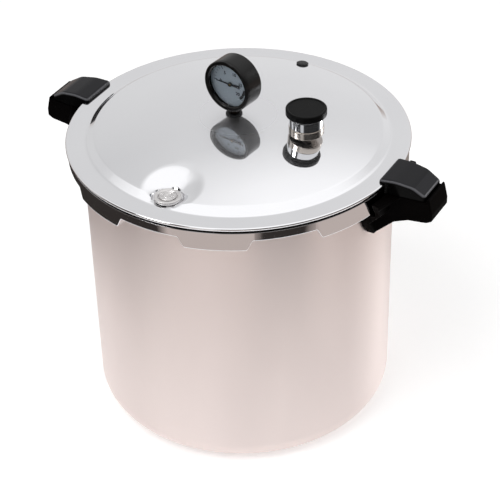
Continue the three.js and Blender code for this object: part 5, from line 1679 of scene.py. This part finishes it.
@dataclass
class SideHandles:
    """The moulded handles of one side: one on the cover and one on the body below it."""

    side: Side
    lathe: Lathe
    bead_radius: float = 175.0
    skirt: float = 173.2
    skirt_way: float = 1.5
    rim_top: float = 309.0
    split: float = 298.0
    pot_radius: float = 158.5
    cover_width: float = 45.8
    cover_taper: float = 0.81
    cover_lap: float = 9.0
    cover_reach: float = 40.0
    cover_bevel: float = 3.4
    grip_width: float = 44.0
    grip_taper: float = 0.88
    grip_depth: float = 23.0
    lip_clearance: float = 2.2
    lip_thickness: float = 2.0
    lip_rise: float = 3.5
    lip_lean: float = 3.8
    wing_width: float = 46.0
    wing_waist: float = 40.0
    wing_depth: float = 12.0
    wing_thickness: float = 4.5
    wing_fillet: float = 14.0
    foot_thickness: float = 7.5
    foot_drop: float = 49.5
    foot_shoulder: float = 32.4
    foot_width: float = 33.0
    foot_base: float = 24.0

    @property
    def cover_end(self) -> float:
        """The outer end of the cover handle, from the canner's axis."""
        return self.bead_radius + self.cover_reach

    @property
    def wall(self) -> float:
        """The face that the body handle's foot has on the body's wall."""
        return self.pot_radius + 0.3

    def round_cutter(self, radius: float, low: float, high: float) -> Piece:
        """An upright cylinder on the canner's axis."""
        return prism("round_cutter", circle(radius, 360), low, high)

    def block(self, name: str, near: float, far: float, half: float, low: float, high: float) -> Piece:
        """A box across the handle axis, between two distances and two heights."""
        corners = [(near, -half), (far, -half), (far, half), (near, half)]
        return prism(name, corners, low, high, self.side.turn)

    def cover_handle(self) -> None:
        """Builds the handle on the cover."""
        node = f"cover_handle_{self.side.label}"
        low, _ = heights_of(node)
        inner, end, top = self.bead_radius - self.cover_lap, self.cover_end, self.rim_top
        outline = rounded(
            [(inner, low - 6, 0), (end, low - 6, 0), (end, top - 5.2, 3.8), (end - 14, top + 3, 16),
             (inner + 18, top + 5.4, 40), (inner + 1.6, top + 4.4, 3.8)], 8, closed=True)
        handle = side_bar(f"moulded_{node}", outline, self.cover_width, self.side.turn)
        bevelled(handle, self.cover_bevel, 6, 45, clamp=False)
        narrowed(handle, inner, end, self.cover_taper)
        strap = HandleStrap(wall=self.skirt, reach=30.0, grip=5.0)
        bracket = heights_of(f"cover_handle_bracket_{self.side.label}")
        carve(handle, [self.block("parting", inner - 1, end + 1, self.cover_width, low - 9, low),
                       self.round_cutter(self.bead_radius + 0.3, low - 1, self.rim_top + 0.3),
                       *strap.cutters(low - 1, bracket[1], self.side.turn)])
        soften(handle, 40)
        install(handle, Body.COVER, MOULDED_PHENOLIC, [node])

    def wings(self, root: float) -> Piece:
        """The part of the body handle that hugs the skirt and stands on the wall.

        Args:
            root: Distance of the grip's inner end from the canner's axis.

        Returns:
            The part.
        """
        wall, way, top = self.wall, self.bead_radius + self.skirt_way, self.split
        foot, shoulder, waist = top - self.foot_drop, top - self.foot_shoulder, top - self.wing_depth
        skin, thick = wall + self.foot_thickness, self.wing_thickness
        section = [(wall - 1, foot), (skin - 1, foot), (skin, foot + 1), (skin, shoulder)]
        section += [(way + thick, waist - thick), (way + thick + 1, waist + thick)]
        section += [(way + self.wing_fillet, top - 1), (way + self.wing_fillet, top)]
        section += [(wall - 1, top), (wall - 1, foot)]
        ring = self.lathe.turn("wings", section, DULL_PHENOLIC, 240)
        above = [(way + self.wing_fillet, self.grip_width / 2 - 1.6, 14.0), (way, self.wing_width, 4.0),
                 (root - 8, self.wing_width, 0.0)]
        front = [(top + 1, self.wing_width, 0.0), (waist, self.wing_waist, 8.0),
                 (shoulder, self.foot_width, 5.0), (foot, self.foot_base, 5.0)]
        plan = prism("plan", rounded(mirrored(above), 6, closed=True), foot - 1, top + 1, self.side.turn)
        upright = Matrix.Rotation(math.radians(-90), 4, "Y")
        turn = self.side.turn @ upright
        seen = prism("seen", rounded(mirrored(front), 6, closed=True), -way - 40, 8 - root, turn)
        carve(ring, [plan], "INTERSECT")
        return carve(ring, [seen], "INTERSECT")

    def body_handle(self) -> None:
        """Builds the handle on the body."""
        label, turn, top = self.side.label, self.side.turn, self.split
        wall, root = self.wall, self.wall + 1.8
        lip = self.cover_end + self.lip_clearance
        end = lip + self.lip_thickness + self.lip_lean
        under, neck = top - self.grip_depth, wall + 25.0
        outline = rounded(
            [(root, top - 47, 0), (wall + self.foot_thickness, top - 47, 2), (neck, top - 30.5, 9),
             (neck + 14.7, under - 1.6, 12), (end - 6, under, 6), (end, under + 3, 2), (end, top - 12, 3),
             (lip + self.lip_thickness, top + self.lip_rise, 0), (root, top + self.lip_rise, 0)],
            6, closed=True)
        handle = side_bar(f"moulded_body_handle_{label}", outline, self.grip_width, turn)
        bevelled(handle, 1.2, 3, 45)
        narrowed(handle, self.bead_radius, end, self.grip_taper)
        carve(handle, [self.wings(root)], "UNION")
        strap = HandleStrap(wall=self.pot_radius, reach=29.0, grip=9.0)
        low, tongue = heights_of(f"body_handle_bracket_{label}")
        carve(handle, [self.block("seat", root - 20, lip, 60, top, top + 20),
                       self.round_cutter(wall, top - 60, top + 1),
                       self.round_cutter(self.bead_radius + self.skirt_way, 280.2, top + 1),
                       *strap.cutters(low - 0.3, tongue, turn)])
        moulded(handle, 0.6, 4)
        install(handle, Body.POT, DULL_PHENOLIC, [f"body_handle_{label}"])

    def screws(self) -> None:
        """Builds the pan-head screws that hold both handles."""
        for part, body in (("cover", Body.COVER), ("body", Body.POT)):
            node = f"{part}_handle_screw_{self.side.label}"
            low, high = heights_of(node)
            head = low + 2.4
            outline = [(0.0, low), *arc((2.2, low + 1.8), 1.8, -90, 0, 6), (4.0, head), (2.0, head)]
            for k in range(int((high - head) / 0.8)):
                level = head + 0.8 * k
                outline += [(1.65, level + 0.2), (2.0, level + 0.6)]
            outline += [(1.4, high), (0.0, high)]
            stand = stand_of(node)
            screw = self.lathe.turn(f"pan_head_{node}", outline, PLATED_STEEL, 32, stand)
            slots = [prism("slot", [(-a, -b), (a, -b), (a, b), (-a, b)], low - 1, low + 1.2, stand)
                     for a, b in ((2.2, 0.45), (0.45, 2.2))]
            carve(screw, slots)
            soften(screw, 40)
            install(screw, body, PLATED_STEEL, [node])

    def build(self) -> None:
        """Builds both handles of the side."""
        self.cover_handle()
        self.body_handle()
        self.screws()


# ------------------------------------------------------------------------------ inside
@dataclass
class CanningRack:
    """The perforated rack that lies on the body's floor."""

    lathe: Lathe
    pattern: RingPattern
    radius: float = 145.0
    sheet: float = 1.6
    hole: float = 4.5
    rings: tuple[tuple[float, int], ...] = ((38, 6), (84, 10), (128, 15))
    feet: int = 6
    foot_offset: float = 110.0
    foot_top: float = 10.0
    foot_toe: float = 5.0
    lip: float = 5.0

    def build(self) -> None:
        """Builds the rack, its dimpled feet and its holes."""
        low, top = heights_of("canning_rack")
        under, r, s = top - self.sheet, self.radius, self.sheet
        rim = [(0.0, under), (r - s - 1, under), (r - s, under - 1), (r - s, top - self.lip)]
        rim += [(r, top - self.lip), *arc((r - 1.8, top - 1.8), 1.8, 0, 90, 6), (0.0, top)]
        disc = self.lathe.turn("pressed_rack", rim, DRAWN_ALUMINIUM, 180)
        toe, wide, root = self.foot_toe, self.foot_top, under + 0.4
        foot = rounded([(0, low, 0), (toe, low, 2), (wide, root, 0), (0, root, 0)], 5)
        hollow = [(0, low + s, 0), (toe - s / 2, low + s, 1.6), (wide - s, top + 1, 0), (0, top + 1, 0)]
        feet, dimples = (
            self.row(self.lathe.turn(name, outline, DRAWN_ALUMINIUM, 32), self.feet, self.foot_offset)
            for name, outline in (("feet", foot), ("dimples", rounded(hollow, 5)))
        )
        carve(disc, [feet], "UNION")
        carve(disc, [dimples, *self.holes(under - 1, top + 1)])
        soften(disc, 40)
        install(disc, Body.RACK, DRAWN_ALUMINIUM, ["canning_rack"])

    def row(self, shape: Piece, count: int, offset: float) -> Piece:
        """Sets copies of a shape evenly round the rack."""
        pitch = 360 / count
        return self.pattern.spread(shape, count, offset, pitch / 2, pitch, DRAWN_ALUMINIUM)

    def holes(self, low: float, high: float) -> list[Piece]:
        """Cutters for the rings of holes."""
        ring = circle(self.hole, 20)
        return [self.row(prism("holes", ring, low, high), count, offset) for offset, count in self.rings]


@dataclass
class CarriedPieces:
    """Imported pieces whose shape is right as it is, and their finishes."""

    finishes: tuple[tuple[str, Finish], ...] = (
        ("lock_bracket", DRAWN_ALUMINIUM),
        ("gauge_stem", BLACKENED_BRASS),
        ("bourdon_tube", STAMPED_BRASS),
        ("movement_back_plate", STAMPED_BRASS),
        ("movement_front_plate", STAMPED_BRASS),
        ("sector_gear", STAMPED_BRASS),
        ("gauge_link", STAMPED_BRASS),
        ("pointer_pinion", STAMPED_BRASS),
        *((f"cover_handle_bracket_{side.label}", PLATED_STEEL) for side in Side),
        *((f"body_handle_bracket_{side.label}", PLATED_STEEL) for side in Side),
    )

    def dress(self) -> None:
        """Gives each carried piece its finish."""
        for name, finish in self.finishes:
            piece = frame["nodes"][name]
            piece.data.materials.clear()
            piece.data.materials.append(finish.material())
            LOG.info("%s: dressed in %s", name, finish.name)


# ------------------------------------------------------------------------------ studio
@dataclass
class Studio:
    """A pale floor, soft lamps, and walls that the polished metal mirrors."""

    eye: Corner = (0.7425, -1.2809, 1.2139)
    forward: Corner = (-0.4045, 0.7073, -0.5797)
    upward: Corner = (-0.2646, 0.5162, 0.8146)
    lens_mm: float = 123.02
    floor_radius: float = 6.0
    floor_colour: str = "f4f4f4"
    floor_glow: float = 0.3
    table_radius: float = 0.505
    table_middle: Corner = (0.0208, -0.036, 0.0)
    table_front: Corner = (0.5, -0.866, 0.0)
    table_cut: float = 0.1
    table_blur: float = 0.008
    fill: float = 0.62
    glare: float = 1.2
    upper_walls: Stops = (
        (-180, 1.0), (-160, 1.0), (-152, 0.03), (-98, 0.03), (-92, 1.0), (-78, 1.0), (-72, 0.03),
        (24, 0.03), (40, 1.0), (100, 1.0), (112, 0.98), (124, 0.94), (135, 0.9), (150, 0.84), (180, 0.95),
    )
    lower_walls: Stops = (
        (-180, 0.04), (-118, 0.04), (-110, 0.62), (-52, 0.62), (-46, 0.04), (-17, 0.04), (-7, 0.62),
        (54, 0.62), (62, 0.3), (114, 0.3), (120, 0.04), (180, 0.04),
    )
    roof_walls: Stops = (
        (-180, 1.0), (-156, 1.0), (-150, 0.0), (-100, 0.0), (-94, 1.0), (92, 1.0), (98, 0.0), (172, 0.0),
        (180, 1.0),
    )
    haze_rise: Stops = (
        (-180, 0.0), (98, 0.0), (110, 0.2), (120, 0.45), (130, 0.6), (142, 0.8), (160, 0.6), (180, 0.0),
    )
    haze_lift: float = 16.0
    horizon_blur: float = 3.0
    roof_blend: Span = (34.0, 41.0)
    top_blend: Span = (48.0, 58.0)
    sky: Stops = (
        (0, 0.72), (15, 0.7), (26, 0.68), (33, 0.7), (41, 0.83), (47, 0.93), (53, 0.985), (60, 1.0),
        (90, 1.0),
    )
    ground: Stops = ((-90, 1.0), (-50, 1.0), (-42, 0.0), (-25, 0.0), (-19, 0.5), (0, 0.5))
    warm: str = "f3e3db"
    softboxes: tuple[tuple[float, float, float, float, float], ...] = (
        (-124.0, 43.0, 13.0, 10.0, 9.0), (52.0, 13.0, 8.0, 8.0, 11.0),
    )
    soft_lamps: tuple[tuple[str, Corner, float, float], ...] = (
        ("key_lamp", (-0.35, -1.3, 2.2), 1.6, 20.0),
        ("side_lamp", (1.9, 0.6, 1.5), 1.4, 9.0),
    )
    lamp_aim: Corner = (0.0, 0.0, 0.15)

    def camera(self) -> None:
        """Places the camera."""
        lens = bpy.data.cameras.new("camera")
        lens.lens, lens.sensor_width = self.lens_mm, 36.0
        lens.clip_start, lens.clip_end = 0.05, 50.0
        view = bpy.data.objects.new("camera", lens)
        bpy.context.scene.collection.objects.link(view)
        forward, up = Vector(self.forward), Vector(self.upward)
        turn = Matrix((forward.cross(up), up, -forward)).transposed().to_4x4()
        view.matrix_world = Matrix.Translation(self.eye) @ turn
        bpy.context.scene.camera = view

    def floor(self) -> None:
        """Lays the pale floor, which mirrors show only near the canner."""
        ring = circle(self.floor_radius / MM, 96)
        ground = prism("studio_floor", ring, -20.0, -0.05)
        surface = bpy.data.materials.new("matt_white_floor")
        surface.use_nodes = True
        tree = surface.node_tree
        tree.nodes.clear()
        path = add_node(tree, "ShaderNodeLightPath").outputs
        matt = add_node(tree, "ShaderNodeBsdfDiffuse", {"Color": linear(self.floor_colour)}).outputs[0]
        white = {"Color": linear("ffffff"), "Strength": self.floor_glow}
        glow = add_node(tree, "ShaderNodeEmission", white).outputs[0]
        lit = add_node(tree, "ShaderNodeAddShader", links={0: matt, 1: glow}).outputs[0]
        place = add_node(tree, "ShaderNodeTexCoord").outputs["Object"]
        middle = {"operation": "SUBTRACT", 1: self.table_middle}
        away = add_node(tree, "ShaderNodeVectorMath", middle, {0: place}).outputs[0]
        reach = flat_length(tree, away)
        front = {"operation": "DOT_PRODUCT", 1: self.table_front}
        ahead = add_node(tree, "ShaderNodeVectorMath", front, {0: place})
        behind = node_math(tree, "MINIMUM", ahead.outputs["Value"], 0.0)
        reach = node_math(tree, "SUBTRACT", reach, product(tree, behind, self.table_cut))
        blur = self.table_blur
        edge = smooth_step(tree, reach, self.table_radius - blur, self.table_radius + blur)
        open_edge = product(tree, edge, path["Is Glossy Ray"])
        clear = add_node(tree, "ShaderNodeBsdfTransparent").outputs[0]
        table = mix_shaders(tree, open_edge, lit, clear)
        add_node(tree, "ShaderNodeOutputMaterial", links={"Surface": table})
        ground.data.materials.append(surface)

    def ramp(self, tree: Tree, value: Socket, stops: Stops, low: float, high: float) -> Socket:
        """Looks a brightness up from an angle.

        Args:
            tree: The world's tree.
            value: The angle in degrees.
            stops: Angles and their brightness.
            low: The smallest angle.
            high: The largest angle.

        Returns:
            The brightness.
        """
        table = add_node(tree, "ShaderNodeFloatCurve", links={"Value": even_step(tree, value, low, high)})
        curve = table.mapping.curves[0]
        while len(curve.points) < len(stops):
            curve.points.new(0.5, 0.5)
        for point, (angle, bright) in zip(curve.points, stops):
            point.location = ((angle - low) / (high - low), bright)
            point.handle_type = "VECTOR"
        table.mapping.update()
        return table.outputs[0]

    def box_light(
        self,
        tree: Tree,
        azimuth: Socket,
        height: Socket,
        softbox: tuple[float, float, float, float, float],
    ) -> Socket:
        """A bright softbox that edges turned to it mirror.

        Args:
            tree: The world's tree.
            azimuth: Degrees round of a direction.
            height: Degrees above the horizon of a direction.
            softbox: The box's middle and half size, round and up in degrees, and its power.

        Returns:
            Its brightness in that direction.
        """
        turn, rise, half_turn, half_rise, power = softbox
        for value, middle, half in ((azimuth, turn, half_turn), (height, rise, half_rise)):
            off = node_math(tree, "ABSOLUTE", node_math(tree, "SUBTRACT", value, middle))
            inside = smooth_step(tree, off, half, max(half / 2, half - 5))
            power = product(tree, inside, power)
        return power

    def world(self) -> None:
        """Lights the studio from all round, with walls that show only in mirrors."""
        sky = bpy.data.worlds.new("studio")
        bpy.context.scene.world = sky
        sky.use_nodes = True
        tree = sky.node_tree
        tree.nodes.clear()
        ray = add_node(tree, "ShaderNodeTexCoord").outputs["Generated"]
        parts = add_node(tree, "ShaderNodeSeparateXYZ", links={0: ray}).outputs
        degrees = 180 / math.pi
        azimuth = product(tree, node_math(tree, "ARCTAN2", parts[1], parts[0]), degrees)
        height = product(tree, node_math(tree, "ARCSINE", parts[2]), degrees)
        upper, lower, roof_wall, risen = (
            self.ramp(tree, azimuth, stops, -180, 180)
            for stops in (self.upper_walls, self.lower_walls, self.roof_walls, self.haze_rise)
        )
        ground = self.ramp(tree, height, self.ground, -90, 0)
        lower = node_math(tree, "MAXIMUM", lower, ground)
        lifted = node_math(tree, "SUBTRACT", height, product(tree, risen, self.haze_lift))
        sky_light = self.ramp(tree, lifted, self.sky, 0, 90)
        above = even_step(tree, height, -self.horizon_blur, self.horizon_blur)
        roof = product(tree, even_step(tree, height, *self.roof_blend), roof_wall)
        top = even_step(tree, height, *self.top_blend)
        wall = node_math(tree, "MAXIMUM", node_math(tree, "MAXIMUM", upper, roof), top)
        lit = product(tree, wall, sky_light, self.glare)
        for softbox in self.softboxes:
            lit = node_math(tree, "ADD", lit, self.box_light(tree, azimuth, height, softbox))
        halves = add_node(tree, "ShaderNodeMix", {"data_type": "FLOAT"}, {0: above, 2: lower, 3: lit})
        path = add_node(tree, "ShaderNodeLightPath").outputs
        fill = add_node(tree, "ShaderNodeBackground", {"Strength": self.fill}).outputs[0]
        walls = add_node(tree, "ShaderNodeBackground", links={"Strength": halves.outputs[0]}).outputs[0]
        white = add_node(tree, "ShaderNodeBackground", {"Strength": 1.0}).outputs[0]
        for shown in (fill, white):
            shown.node.inputs[0].default_value = linear("ffffff")
        colours = {"data_type": "RGBA", 6: linear(self.warm), 7: linear("ffffff")}
        tint = add_node(tree, "ShaderNodeMix", colours, {0: above}).outputs[2]
        tree.links.new(tint, walls.node.inputs[0])
        seen = mix_shaders(tree, path["Is Glossy Ray"], fill, walls)
        for ray_kind in ("Is Camera Ray", "Is Transmission Ray"):
            seen = mix_shaders(tree, path[ray_kind], seen, white)
        add_node(tree, "ShaderNodeOutputWorld", links={"Surface": seen})

    def lamps(self) -> None:
        """Hangs the soft lamps, which mirrors don't show."""
        for name, place, size, power in self.soft_lamps:
            lamp = bpy.data.lights.new(name, "AREA")
            lamp.shape, lamp.size, lamp.energy = "DISK", size, power
            stand = bpy.data.objects.new(name, lamp)
            aim = (Vector(self.lamp_aim) - Vector(place)).to_track_quat("-Z", "Y")
            stand.matrix_world = Matrix.Translation(place) @ aim.to_matrix().to_4x4()
            stand.visible_glossy = False
            bpy.context.scene.collection.objects.link(stand)

    def build(self) -> None:
        """Sets the studio up."""
        self.camera()
        self.floor()
        self.world()
        self.lamps()
        bpy.context.scene.view_settings.view_transform = "Standard"


def main() -> None:
    """Builds the canner piece by piece."""
    logging.basicConfig(level=logging.INFO, format="%(message)s")
    bayonet, lathe, pattern = Bayonet(), Lathe(), RingPattern()
    cover = Cover(bayonet)
    assemblies = [
        CannerBody(bayonet),
        cover,
        SealingRing(lathe),
        SteamGauge(lathe, pattern),
        PressureRegulator(lathe),
        AirVentLock(lathe),
        OverpressurePlug(lathe, cover),
        *(SideHandles(side, lathe) for side in Side),
        CanningRack(lathe, pattern),
        Studio(),
    ]
    for assembly in assemblies:
        assembly.build()
        LOG.info("%s done", type(assembly).__name__)
    CarriedPieces().dress()


if __name__ == "__main__":
    main()
